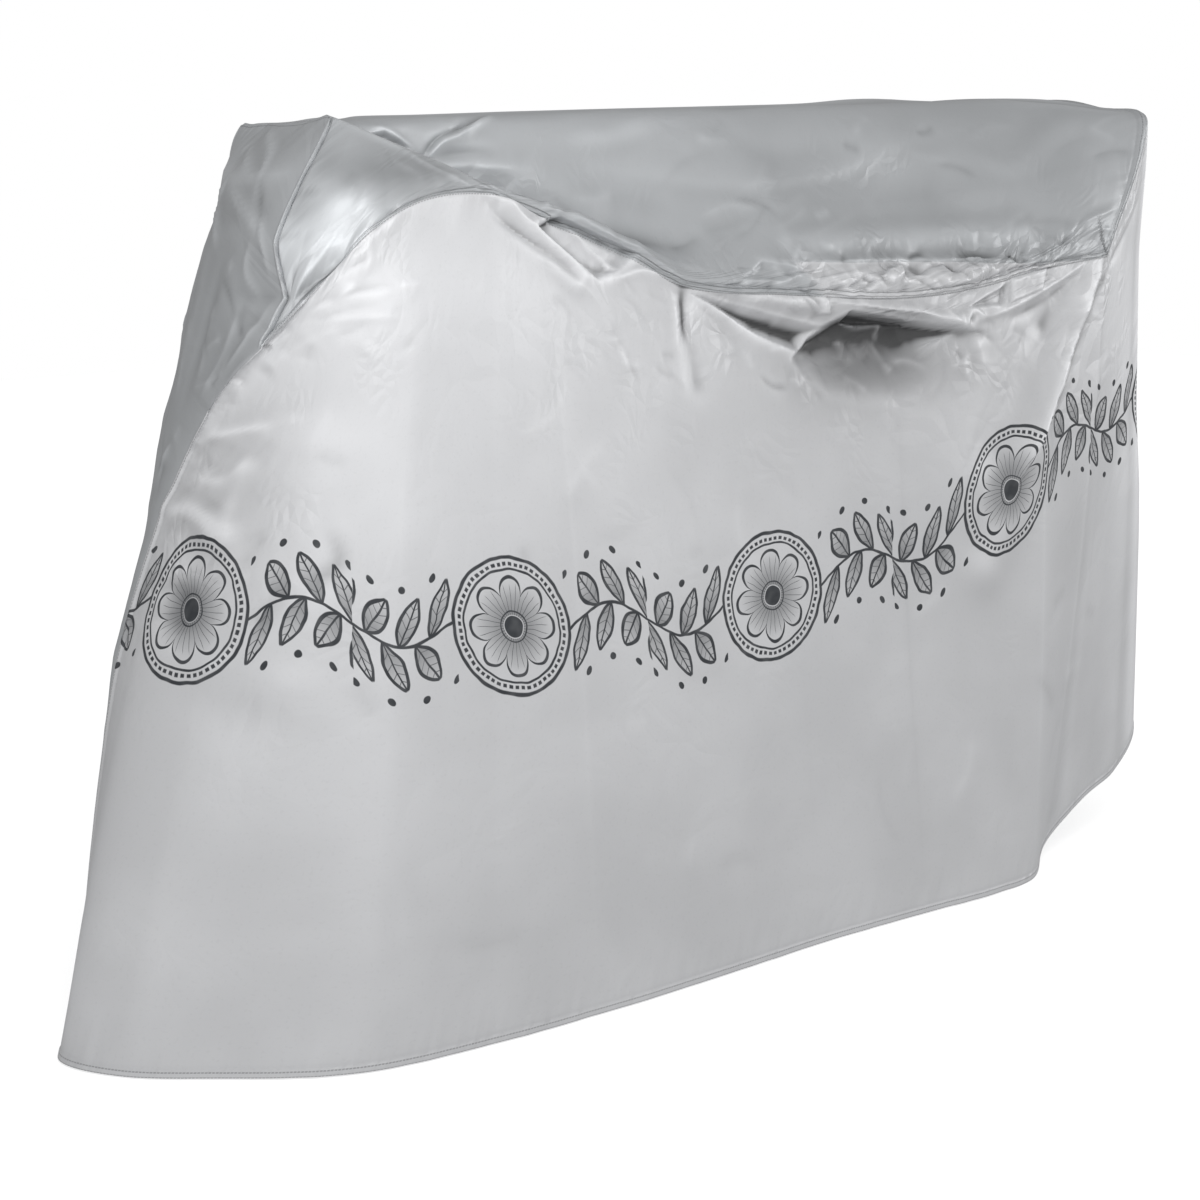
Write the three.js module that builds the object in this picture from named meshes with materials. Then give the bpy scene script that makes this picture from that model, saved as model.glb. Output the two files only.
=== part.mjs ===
// A fitted two-wheeler cover of thin silver film, as it hangs over a vehicle that is left out.
// Millimetres. X runs from the nose (-) to the tail (+), Y from the near side (-) to the far
// side (+), and Z is up. The tables give heights above the lowest point of the hem, and the whole
// cover is then lowered so that its origin is the support point under the crown.
import * as THREE from 'three';

const FILM = 2; // thickness of the hanging sheet
const SEAM_GAP = 0.3; // daylight between two panels along a seam
const SUPPORT_HEIGHT = 1066; // underside of the crown above the lowest hem

const SPAN_STEPS = 3; // cells between two rows of the side and top tables
const CROSS_STEPS = [2, 2, 2, 2, 3]; // cells from seam to swell, crease, dip, crown and middle
const SIDE_STEPS = 16; // cells from hem to seam on the side panels
const TOP_CROWDING = 1.5; // how much closer those cells lie near the seam than near the hem
const FRONT_REACH = 0.34; // share of a side panel over which the nose seam's bend fades out
const BAR_REACH = 0.3; // share of the front panel over which the front bar's shape fades out

const NEAR_SILVER = { color: 0xbfc2c4, roughness: 0.4, metalness: 0.35 };
const TOP_SILVER = { color: 0xa9acae, roughness: 0.42, metalness: 0.35 };
const FRONT_SILVER = { color: 0x9a9ea1, roughness: 0.44, metalness: 0.35 };

// The near side panel, from the nose seam to the lower corner of the tail edge: where it starts
// at the top, where it ends in the hem, and how far it bellies out between the two.
const SIDE_ROWS = [
  { top: [-588, -200, 812], hem: [-800, -80, 0], belly: 0 },
  { top: [-544, -215, 858], hem: [-849, -145, 0], belly: 6 },
  { top: [-507, -230, 898], hem: [-813, -222, 0], belly: 10 },
  { top: [-465, -240, 939], hem: [-731, -288, 0], belly: 14 },
  { top: [-397, -240, 971], hem: [-584, -378, 0], belly: 18 },
  { top: [-302, -226, 975], hem: [-418, -402, 0], belly: 20 },
  { top: [-216, -214, 945], hem: [-272, -408, 0], belly: 20 },
  { top: [-112, -222, 906], hem: [-180, -408, 0], belly: 12 },
  { top: [-18, -240, 857], hem: [-90, -405, 0], belly: 4 },
  { top: [123, -268, 842], hem: [100, -399, 0], belly: -4 },
  { top: [300, -292, 829], hem: [290, -402, 0], belly: -8 },
  { top: [441, -300, 836], hem: [420, -406, 0], belly: 4 },
  { top: [570, -299, 856], hem: [511, -393, 0], belly: 14 },
  { top: [715, -292, 868], hem: [601, -334, 17], belly: 10 },
];

// The same panel round the tail, under the columns of the top panel's last row.
const TAIL_ROWS = [
  { hem: [601, -334, 17], belly: 10 },
  { hem: [648, -327, 45], belly: 6 },
  { hem: [700, -320, 66], belly: 4 },
  { hem: [775, -312, 92], belly: 2 },
  { hem: [838, -288, 150], belly: 2 },
  { hem: [886, 0, 172], belly: 0 },
];

// The nose seam between the front panel and the near side panel, from the hem up.
const NOSE_SEAM = [
  [-800, -80, 0], [-778, -68, 140], [-748, -54, 290], [-712, -45, 440],
  [-672, -60, 571], [-638, -92, 675], [-622, -150, 750], [-588, -200, 812],
];

// The middle of the front panel: how far forward it lies at each height.
const FRONT_MIDDLE = [
  { z: 0, x: -700 }, { z: 250, x: -704 }, { z: 440, x: -688 }, { z: 570, x: -652 },
  { z: 675, x: -632 }, { z: 812, x: -594 }, { z: 931, x: -548 }, { z: 1000, x: -516 },
  { z: 1064, x: -447 },
];

// The top panel between its near seam and its middle, a row for each of the side rows: the swell
// of the shoulder, the crease, the dip behind it, the edge of the crown, and the middle.
const TOP_ROWS = [
  { swell: [-553, -176, 925], crease: [-453, -130, 1064], dip: [-451, -100, 1063], crown: [-449, -60, 1058], middle: [-447, 0, 1056] },
  { swell: [-502, -205, 968], crease: [-428, -146, 1052], dip: [-416, -122, 1040], crown: [-410, -85, 1057], middle: [-406, 0, 1057] },
  { swell: [-456, -216, 988], crease: [-398, -158, 1037], dip: [-384, -130, 1020], crown: [-374, -105, 1058], middle: [-366, 0, 1058] },
  { swell: [-416, -222, 996], crease: [-366, -170, 1023], dip: [-350, -138, 1000], crown: [-336, -120, 1058], middle: [-323, 0, 1059] },
  { swell: [-366, -226, 997], crease: [-322, -184, 1004], dip: [-300, -148, 980], crown: [-283, -132, 1060], middle: [-266, 0, 1061] },
  { swell: [-290, -218, 986], crease: [-262, -196, 978], dip: [-236, -160, 958], crown: [-220, -138, 1062], middle: [-203, 0, 1063] },
  { swell: [-208, -213, 957], crease: [-196, -205, 955], dip: [-170, -170, 938], crown: [-158, -140, 1064], middle: [-145, 0, 1065] },
  { swell: [-106, -222, 918], crease: [-102, -215, 921], dip: [-84, -184, 915], crown: [-72, -141, 1066], middle: [-66, 0, 1067] },
  { swell: [-14, -242, 868], crease: [-6, -236, 878], dip: [6, -206, 905], crown: [16, -142, 1068], middle: [20, 0, 1069] },
  { swell: [123, -271, 862], crease: [122, -256, 884], dip: [132, -218, 945], crown: [140, -142, 1072], middle: [142, 0, 1073] },
  { swell: [304, -292, 852], crease: [312, -266, 874], dip: [320, -222, 950], crown: [330, -142, 1076], middle: [332, 0, 1077] },
  { swell: [448, -300, 856], crease: [456, -278, 872], dip: [466, -230, 958], crown: [478, -144, 1080], middle: [480, 0, 1080] },
  { swell: [578, -298, 873], crease: [590, -287, 890], dip: [612, -248, 975], crown: [634, -168, 1083], middle: [642, 0, 1083] },
  { swell: [742, -287, 914], crease: [769, -283, 959], dip: [795, -277, 1025], crown: [813, -266, 1067], middle: [830, 0, 1086] },
];

// How far the far half of the nose is pulled back at each height, because the front is turned
// towards the near side. The pull grows from nothing at one X to its whole value at another.
const NOSE_PULL = [
  { z: 0, back: 235 }, { z: 660, back: 92 }, { z: 812, back: 100 }, { z: 940, back: 105 }, { z: 1064, back: 18 },
];
const PULL_START = -150;
const PULL_WHOLE = -540;

// Folds on the near side, each a soft ridge (+) or trough (-) along the line between two places
// given by X and Z.
const SIDE_FOLDS = [
  { name: 'pocket under the slumped seam', from: [60, 796], to: [310, 776], width: 44, height: -42 },
  { name: 'ledge of the slumped seam', from: [190, 822], to: [430, 795], width: 16, height: 14 },
  { name: 'pull below the pinch', from: [-18, 846], to: [-12, 740], width: 16, height: -12 },
  { name: 'pull from the pinch to the pocket', from: [0, 835], to: [120, 735], width: 20, height: 12 },
  { name: 'first finger pleat', from: [-275, 962], to: [-175, 872], width: 16, height: 12 },
  { name: 'groove between the pleats', from: [-235, 950], to: [-150, 872], width: 12, height: -10 },
  { name: 'second finger pleat', from: [-200, 935], to: [-120, 872], width: 14, height: 10 },
  { name: 'tail pleat, upper', from: [750, 930], to: [644, 804], width: 26, height: 12 },
  { name: 'tail pleat, middle', from: [644, 804], to: [531, 616], width: 28, height: 16 },
  { name: 'tail pleat, lower', from: [531, 616], to: [430, 470], width: 34, height: 12 },
  { name: 'hollow before the tail pleat', from: [560, 780], to: [470, 620], width: 44, height: -10 },
  { name: 'nose hollow', from: [-600, 640], to: [-650, 430], width: 34, height: -12 },
  { name: 'nose swell', from: [-545, 700], to: [-600, 460], width: 34, height: 12 },
  { name: 'handlebar swell', from: [-430, 860], to: [-300, 880], width: 90, height: 14 },
];

const TOP_FOLDS = [
  { name: 'dart behind the shoulder', from: [-300, 1040], to: [-210, 995], width: 14, height: 8 },
  { name: 'dart along the crease', from: [-190, 985], to: [-110, 950], width: 12, height: 8 },
  { name: 'saddle dip', from: [180, 1000], to: [420, 960], width: 40, height: -7 },
  { name: 'slumped fold', from: [150, 905], to: [560, 905], width: 18, height: 6 },
];

const point = (place) => new THREE.Vector3(...place);

// Straight-line reading of a table of rows sorted by height.
function readAt(rows, z, column) {
  const next = Math.min(Math.max(rows.findIndex((row) => row.z >= z), 1), rows.length - 1);
  const above = z > rows[rows.length - 1].z ? rows.length - 1 : next;
  const [low, high] = [rows[above - 1], rows[above]];
  const share = THREE.MathUtils.clamp((z - low.z) / (high.z - low.z), 0, 1);
  return THREE.MathUtils.lerp(low[column], high[column], share);
}

// The far half mirrors the near one, with its nose pulled back.
function far(near) {
  const along = THREE.MathUtils.smoothstep(-near.x, -PULL_START, -PULL_WHOLE);
  return new THREE.Vector3(near.x + along * readAt(NOSE_PULL, near.z, 'back'), -near.y, near.z);
}

// Points along a smooth curve through the given ones, with a number of steps for each span.
function trace(points, steps) {
  const curve = new THREE.CatmullRomCurve3(points);
  const spans = points.length - 1;
  const traced = [];
  for (let span = 0; span < spans; span++) {
    for (let step = 0; step < steps[span]; step++) {
      traced.push(curve.getPoint((span + step / steps[span]) / spans));
    }
  }
  return [...traced, points[spans].clone()];
}

// Height of the folds at a place, each fading across its width and beyond its ends.
function foldHeight(folds, x, z) {
  let height = 0;
  for (const fold of folds) {
    const [x0, z0] = fold.from;
    const [x1, z1] = fold.to;
    const length = Math.hypot(x1 - x0, z1 - z0);
    const along = ((x - x0) * (x1 - x0) + (z - z0) * (z1 - z0)) / length;
    const beside = ((x - x0) * (z1 - z0) - (z - z0) * (x1 - x0)) / length;
    const beyond = Math.max(0, -along, along - length);
    height += fold.height * Math.exp(-((beside / fold.width) ** 2) - (beyond / fold.width) ** 2);
  }
  return height;
}

// Outward normals of a grid whose first index runs along the panel and second across it.
function gridNormals(grid) {
  const lastI = grid.length - 1;
  const lastJ = grid[0].length - 1;
  return grid.map((line, i) => line.map((_, j) => {
    const along = grid[Math.min(i + 1, lastI)][j].clone().sub(grid[Math.max(i - 1, 0)][j]);
    const across = grid[i][Math.min(j + 1, lastJ)].clone().sub(grid[i][Math.max(j - 1, 0)]);
    return along.cross(across).normalize();
  }));
}

// Moves a grid's inner points on the near half along their normals by the folds.
function addFolds(grid, folds) {
  const normals = gridNormals(grid);
  const onEdge = (i, j) => i === 0 || j === 0 || i === grid.length - 1 || j === grid[0].length - 1;
  return grid.map((line, i) => line.map((p, j) => (
    onEdge(i, j) || p.y > 0 ? p : p.clone().addScaledVector(normals[i][j], foldHeight(folds, p.x, p.z))
  )));
}

// The top panel before its folds: each line crosses from the near seam to the far seam.
function makeTop() {
  const steps = SIDE_ROWS.slice(1).map(() => SPAN_STEPS);
  const column = (name) => trace(TOP_ROWS.map((row) => point(row[name])), steps);
  const seam = trace(SIDE_ROWS.map((row) => point(row.top)), steps);
  const columns = [seam, ...['swell', 'crease', 'dip', 'crown', 'middle'].map(column)];
  const bothWays = [...CROSS_STEPS, ...[...CROSS_STEPS].reverse()];
  return seam.map((_, i) => {
    const near = columns.map((line) => line[i]);
    const mirrored = near.slice(0, -1).reverse().map(far);
    return trace([...near, ...mirrored], bothWays);
  });
}

// The height shares of a side panel's cells from the hem up, closer together near the seam.
const climb = (j) => 1 - (1 - j / SIDE_STEPS) ** TOP_CROWDING;

// A side panel before its folds: straight from hem to top and bellied out, with the nose seam's
// bend fading along its first part.
function makeSide(top) {
  const half = (top[0].length - 1) / 2;
  const edge = [...top.map((line) => line[0]), ...top[top.length - 1].slice(1, half + 1)];
  const spanSteps = SIDE_ROWS.slice(1).map(() => SPAN_STEPS);
  const rows = [...SIDE_ROWS, ...TAIL_ROWS.slice(1)];
  const steps = [...spanSteps, ...CROSS_STEPS];
  const hems = trace(rows.map((row) => point(row.hem)), steps);
  const bellies = trace(rows.map((row) => new THREE.Vector3(row.belly, 0, 0)), steps);
  const seam = new THREE.CatmullRomCurve3(NOSE_SEAM.map(point));
  return edge.map((start, i) => {
    const fade = Math.max(0, 1 - i / edge.length / FRONT_REACH) ** 2;
    const line = [];
    for (let j = 0; j <= SIDE_STEPS; j++) {
      const up = climb(j);
      const bend = seam.getPointAt(up).sub(hems[0].clone().lerp(edge[0], up));
      const place = hems[i].clone().lerp(start, up).addScaledVector(bend, fade);
      place.y -= bellies[i].x * Math.sin(Math.PI * up);
      line.push(place);
    }
    line[SIDE_STEPS] = start.clone();
    return line;
  });
}

// The front panel: each line climbs from the hem to the front bar, the first along the far seam
// and the last along the near seam.
function makeFront(top, side) {
  const lipSteps = CROSS_STEPS[0] + CROSS_STEPS[1];
  const width = top[0].length - 1 - 2 * lipSteps;
  const near = [...side[0], ...top[0].slice(1, lipSteps + 1)];
  const away = near.map(far);
  const bar = top[0].slice(lipSteps, lipSteps + width + 1).reverse();
  const last = near.length - 1;
  const bow = (j, i) => {
    const middle = new THREE.Vector3(readAt(FRONT_MIDDLE, near[j].z, 'x'), 0, near[j].z);
    const sideways = 2 * i / width - 1;
    const sag = away[j].clone().add(near[j]).multiplyScalar(0.5).sub(middle);
    const half = near[j].clone().sub(away[j]).multiplyScalar(0.5);
    return middle.addScaledVector(half, sideways).addScaledVector(sag, sideways ** 2);
  };
  return bar.map((barPoint, i) => near.map((_, j) => {
    if (i === 0) return away[j].clone();
    if (i === width) return near[j].clone();
    if (j === last) return barPoint.clone();
    const lift = barPoint.clone().sub(bow(last, i));
    return bow(j, i).addScaledVector(lift, Math.max(0, 1 - (1 - j / last) / BAR_REACH) ** 2);
  }));
}

// Directions shared by the panels that meet at a place, so that a seam's two walls are parallel.
const place = (p) => [p.x, p.y, p.z].map((size) => size.toFixed(3)).join(' ');

function shareNormals(grids) {
  const shared = new Map();
  const normals = grids.map(gridNormals);
  grids.forEach((grid, g) => grid.forEach((line, i) => line.forEach((p, j) => {
    const sum = shared.get(place(p)) ?? shared.set(place(p), new THREE.Vector3()).get(place(p));
    sum.add(normals[g][i][j]);
  })));
  shared.forEach((sum) => sum.normalize());
  return shared;
}

// The direction in which a point on a grid's edge is drawn in, square to the edge and along the
// sheet, and both ways at a corner.
function inward(grid, normal, i, j) {
  const lastI = grid.length - 1;
  const lastJ = grid[0].length - 1;
  const pull = new THREE.Vector3();
  const draw = (before, after, inside) => {
    const square = after.clone().sub(before).cross(normal).normalize();
    pull.addScaledVector(square, Math.sign(square.dot(inside.clone().sub(grid[i][j]))));
  };
  if (i === 0 || i === lastI) {
    draw(grid[i][Math.max(j - 1, 0)], grid[i][Math.min(j + 1, lastJ)], grid[i === 0 ? 1 : i - 1][j]);
  }
  if (j === 0 || j === lastJ) {
    draw(grid[Math.max(i - 1, 0)][j], grid[Math.min(i + 1, lastI)][j], grid[i][j === 0 ? 1 : j - 1]);
  }
  return pull;
}

// A closed sheet on a grid: its outer face, its inner face one film below, and its four edges,
// each drawn in from the seam by half the gap.
function makeSheet(name, grid, shared, finish) {
  const lastI = grid.length - 1;
  const lastJ = grid[0].length - 1;
  const positions = [];
  for (const depth of [0, FILM]) {
    for (let i = 0; i <= lastI; i++) {
      for (let j = 0; j <= lastJ; j++) {
        const normal = shared.get(place(grid[i][j]));
        const p = grid[i][j].clone().addScaledVector(normal, -depth);
        p.addScaledVector(inward(grid, normal, i, j), SEAM_GAP / 2);
        positions.push(p.x, p.y, p.z);
      }
    }
  }
  const size = (lastI + 1) * (lastJ + 1);
  const outer = ([i, j]) => i * (lastJ + 1) + j;
  const faces = [];
  for (let i = 0; i < lastI; i++) {
    for (let j = 0; j < lastJ; j++) {
      const [a, b, c, d] = [[i, j], [i + 1, j], [i + 1, j + 1], [i, j + 1]].map(outer);
      faces.push(a, b, c, a, c, d);
      faces.push(a + size, c + size, b + size, a + size, d + size, c + size);
    }
  }
  const rim = [];
  for (let i = 0; i < lastI; i++) rim.push([i, 0]);
  for (let j = 0; j < lastJ; j++) rim.push([lastI, j]);
  for (let i = lastI; i > 0; i--) rim.push([i, lastJ]);
  for (let j = lastJ; j > 0; j--) rim.push([0, j]);
  rim.forEach((from, k) => {
    const to = rim[(k + 1) % rim.length];
    const [a, b] = [outer(from), outer(to)];
    // Both panels at a seam split its wall along the same diagonal, so that the gap stays even.
    const ahead = grid[from[0]][from[1]].x < grid[to[0]][to[1]].x;
    if (ahead) faces.push(a, a + size, b + size, a, b + size, b);
    else faces.push(a, a + size, b, b, a + size, b + size);
  });
  const geometry = new THREE.BufferGeometry();
  geometry.setAttribute('position', new THREE.Float32BufferAttribute(positions, 3));
  geometry.setIndex(faces);
  geometry.computeVertexNormals();
  const mesh = new THREE.Mesh(geometry, new THREE.MeshStandardMaterial(finish));
  mesh.name = name;
  return mesh;
}

const topPlain = makeTop();
const sidePlain = makeSide(topPlain);
const grids = {
  side_panel_near: addFolds(sidePlain, SIDE_FOLDS),
  side_panel_far: sidePlain.map((line) => line.map(far)).reverse(),
  front_panel: makeFront(topPlain, sidePlain),
  top_panel: addFolds(topPlain, TOP_FOLDS),
};
const finishes = {
  side_panel_near: NEAR_SILVER,
  side_panel_far: NEAR_SILVER,
  front_panel: FRONT_SILVER,
  top_panel: TOP_SILVER,
};
const shared = shareNormals(Object.values(grids));

const cover = new THREE.Group();
for (const [name, grid] of Object.entries(grids)) {
  cover.add(makeSheet(name, grid, shared, finishes[name]));
}
cover.position.z = -SUPPORT_HEIGHT;

export default cover;
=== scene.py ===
import math

import bpy
import numpy as np
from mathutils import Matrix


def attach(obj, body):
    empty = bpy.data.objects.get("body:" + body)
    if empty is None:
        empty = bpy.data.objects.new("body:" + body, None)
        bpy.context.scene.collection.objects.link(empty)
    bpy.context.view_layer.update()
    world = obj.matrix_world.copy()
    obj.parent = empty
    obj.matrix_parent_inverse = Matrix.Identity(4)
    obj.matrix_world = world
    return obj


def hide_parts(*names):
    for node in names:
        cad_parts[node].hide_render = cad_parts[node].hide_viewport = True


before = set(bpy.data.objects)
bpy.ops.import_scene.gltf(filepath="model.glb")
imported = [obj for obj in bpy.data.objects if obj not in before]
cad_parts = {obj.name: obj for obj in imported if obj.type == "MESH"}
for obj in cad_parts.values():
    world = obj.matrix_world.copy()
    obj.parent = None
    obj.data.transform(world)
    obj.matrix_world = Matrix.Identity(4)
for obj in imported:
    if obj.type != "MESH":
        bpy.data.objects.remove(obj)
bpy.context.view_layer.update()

# The looks of a fitted two-wheeler cover of thin silver film. Every table is in millimetres: X runs
# from the nose (-) to the tail (+), Y from the near side (-) to the far side (+), and Z is the
# height above the lowest point of the hem. The made meshes are in metres, in the part's own frame.
MM = 0.001
SUPPORT_HEIGHT = 1066  # the part's origin above the lowest hem

# The panels: the CAD node that each one replaces, its material slot, the rectangle that it is cut
# from in metres, and its own area in square metres.
PANELS = {
    "near_side": ("side_panel_near", "printed_film", (2.2, 1.1), 1.76),
    "far_side": ("side_panel_far", "printed_film", (2.0, 1.1), 1.60),
    "front_gore": ("front_panel", "plain_film", (1.15, 0.4), 0.29),
    "top_cloth": ("top_panel", "plain_film", (1.45, 0.95), 0.98),
}

# The near side panel from the nose seam to the lower corner of the tail edge, and the same panel
# round the tail: where each row starts in the hem, where it ends, and how far it bellies out.
SIDE_TOPS = [
    (-588, -200, 812), (-544, -215, 858), (-507, -230, 898), (-465, -240, 939), (-397, -240, 971),
    (-302, -226, 975), (-216, -214, 945), (-112, -222, 906), (-18, -240, 857), (123, -268, 842),
    (300, -292, 829), (441, -300, 836), (570, -299, 856), (715, -292, 868),
]
SIDE_HEMS = [
    (-800, -80, 0), (-849, -145, 0), (-813, -222, 0), (-731, -288, 0), (-584, -378, 0),
    (-418, -402, 0), (-272, -408, 0), (-180, -408, 0), (-90, -405, 0), (100, -399, 0),
    (290, -402, 0), (420, -406, 0), (511, -393, 0), (601, -334, 17), (648, -327, 45),
    (700, -320, 66), (775, -312, 92), (838, -288, 150), (886, 0, 172),
]
SIDE_BELLIES = [0, 6, 10, 14, 18, 20, 20, 12, 4, -4, -8, 4, 14, 10, 6, 4, 2, 2, 0]

# The top panel between its near seam and its middle, a row for each of the side rows: the swell of
# the shoulder, the crease, the dip behind it, the edge of the crown, and the middle.
TOP_SWELLS = [
    (-553, -176, 925), (-502, -205, 968), (-456, -216, 988), (-416, -222, 996), (-366, -226, 997),
    (-290, -218, 986), (-208, -213, 957), (-106, -222, 918), (-14, -242, 868), (123, -271, 862),
    (304, -292, 852), (448, -300, 856), (578, -298, 873), (742, -287, 914),
]
TOP_CREASES = [
    (-453, -130, 1064), (-428, -146, 1052), (-398, -158, 1037), (-366, -170, 1023),
    (-322, -184, 1004), (-262, -196, 978), (-196, -205, 955), (-102, -215, 921), (-6, -236, 878),
    (122, -256, 884), (312, -266, 874), (456, -278, 872), (590, -287, 890), (769, -283, 959),
]
TOP_DIPS = [
    (-451, -100, 1063), (-416, -122, 1040), (-384, -130, 1020), (-350, -138, 1000),
    (-300, -148, 980), (-236, -160, 958), (-170, -170, 938), (-84, -184, 915), (6, -206, 905),
    (132, -218, 945), (320, -222, 950), (466, -230, 958), (612, -248, 975), (801, -276, 1025),
]
TOP_CROWNS = [
    (-449, -60, 1058), (-410, -85, 1057), (-374, -105, 1057), (-336, -120, 1056), (-283, -132, 1056),
    (-220, -138, 1056), (-158, -140, 1057), (-72, -141, 1059), (16, -142, 1061), (140, -142, 1065),
    (330, -142, 1069), (478, -144, 1073), (634, -168, 1078), (813, -266, 1066),
]
TOP_MIDDLES = [
    (-447, 0, 1056), (-406, 0, 1057), (-366, 0, 1057), (-323, 0, 1057), (-266, 0, 1057),
    (-203, 0, 1057), (-145, 0, 1058), (-66, 0, 1060), (20, 0, 1062), (142, 0, 1066),
    (332, 0, 1070), (480, 0, 1073), (642, 0, 1078), (830, 0, 1085),
]

# The nose seam from the hem up, and the middle of the front panel as height and X.
NOSE_SEAM = [
    (-800, -80, 0), (-778, -68, 140), (-748, -54, 290), (-712, -45, 440), (-672, -60, 571),
    (-638, -92, 675), (-622, -150, 750), (-588, -200, 812),
]
FRONT_MIDDLE = [
    (0, -700), (250, -704), (440, -688), (570, -652), (675, -632), (812, -594), (931, -548),
    (1000, -516), (1064, -447),
]
NOSE_BEND_ROWS = 5.8  # side rows over which the nose seam's bend fades out
FRONT_LIFT = 0.3  # share of the front panel over which the front bar's shape fades out

# How far the far half of the nose is pulled back at each height, and the X range it grows over.
NOSE_PULL = [(0, 235), (660, 92), (812, 100), (940, 105), (1064, 18)]
PULL_START = -150
PULL_WHOLE = -540

# Cells between two rows, along the top seam and then round the tail, and across the top panel.
ROW_CELLS = [24, 19, 19, 26, 32, 31, 37, 36, 47, 57, 45, 40, 40]
TAIL_CELLS = [10, 9, 10, 8, 22]
CROSS_CELLS = [28, 26, 22, 40, 28, 14, 14, 9, 9, 10]
FRONT_CELLS = 150
FRONT_CROWDING = 0.85
SEAM_CROWDING = 1.5

# Widths of the sewn edges, and the slit and the corner of the front panel's lip.
SEAM_BAND = 7
TAIL_BAND = 12
NOSE_BAND = 8
SLIT_MIDDLE = 841  # height of the slit beside the front panel's rim
SLIT_HALF = 23
SLIT_DEPTH = 13
LIP_CORNER = 865  # height of the corner in which the lip juts out
LIP_JUT = 24
LIP_ABOVE = 62
LIP_BELOW = 54
LIP_FADE = 75
LIP_STEP = 4.5  # how far the cloth beside the lip lies below it
LIP_WAY = (0.81, -0.59, 0)  # direction in which the lip juts out

# Corners that sink a little: where, how far and how far round.
SINKS = [((-437, 125, 1064), 11, 48), ((830, -190, 1086), 11, 60), ((830, 190, 1086), 11, 60)]

# How much each axis counts in the distance to a crease.
SIDEWAYS = (1, 0.3, 1)
FORWARDS = (0.3, 1, 1)
UPWARDS = (1, 1, 0.3)

# The main folds that the solid has too: a soft ridge (+) or trough (-) between two places by X and Z.
MAIN_FOLDS = [
    # where, height, width, from, to
    ("pocket under the slumped seam", -14, 44, (60, 790), (310, 770)),
    ("ledge of the slumped seam", 6, 16, (190, 822), (430, 795)),
    ("pull below the pinch", -6, 16, (-18, 846), (-12, 740)),
    ("first finger pleat", 8, 16, (-275, 962), (-175, 872)),
    ("tail pleat, upper", 5, 26, (750, 930), (644, 804)),
    ("tail pleat, middle", 7, 28, (644, 804), (531, 616)),
    ("tail pleat, lower", 7, 34, (531, 616), (430, 470)),
    ("hollow before the tail pleat", -10, 44, (560, 780), (470, 620)),
    ("nose hollow", -3, 40, (-600, 640), (-650, 430)),
    ("nose swell", 4, 40, (-545, 700), (-600, 460)),
    ("handlebar swell", 10, 90, (-430, 860), (-300, 880)),
]
TOP_MAIN_FOLDS = [
    ("dart behind the shoulder", 4, 20, (-300, 1040), (-210, 995)),
    ("dart along the crease", 3, 22, (-190, 985), (-110, 950)),
    ("saddle dip", -7, 40, (180, 1000), (420, 960)),
    ("slumped fold", 6, 18, (150, 905), (560, 905)),
]

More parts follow.
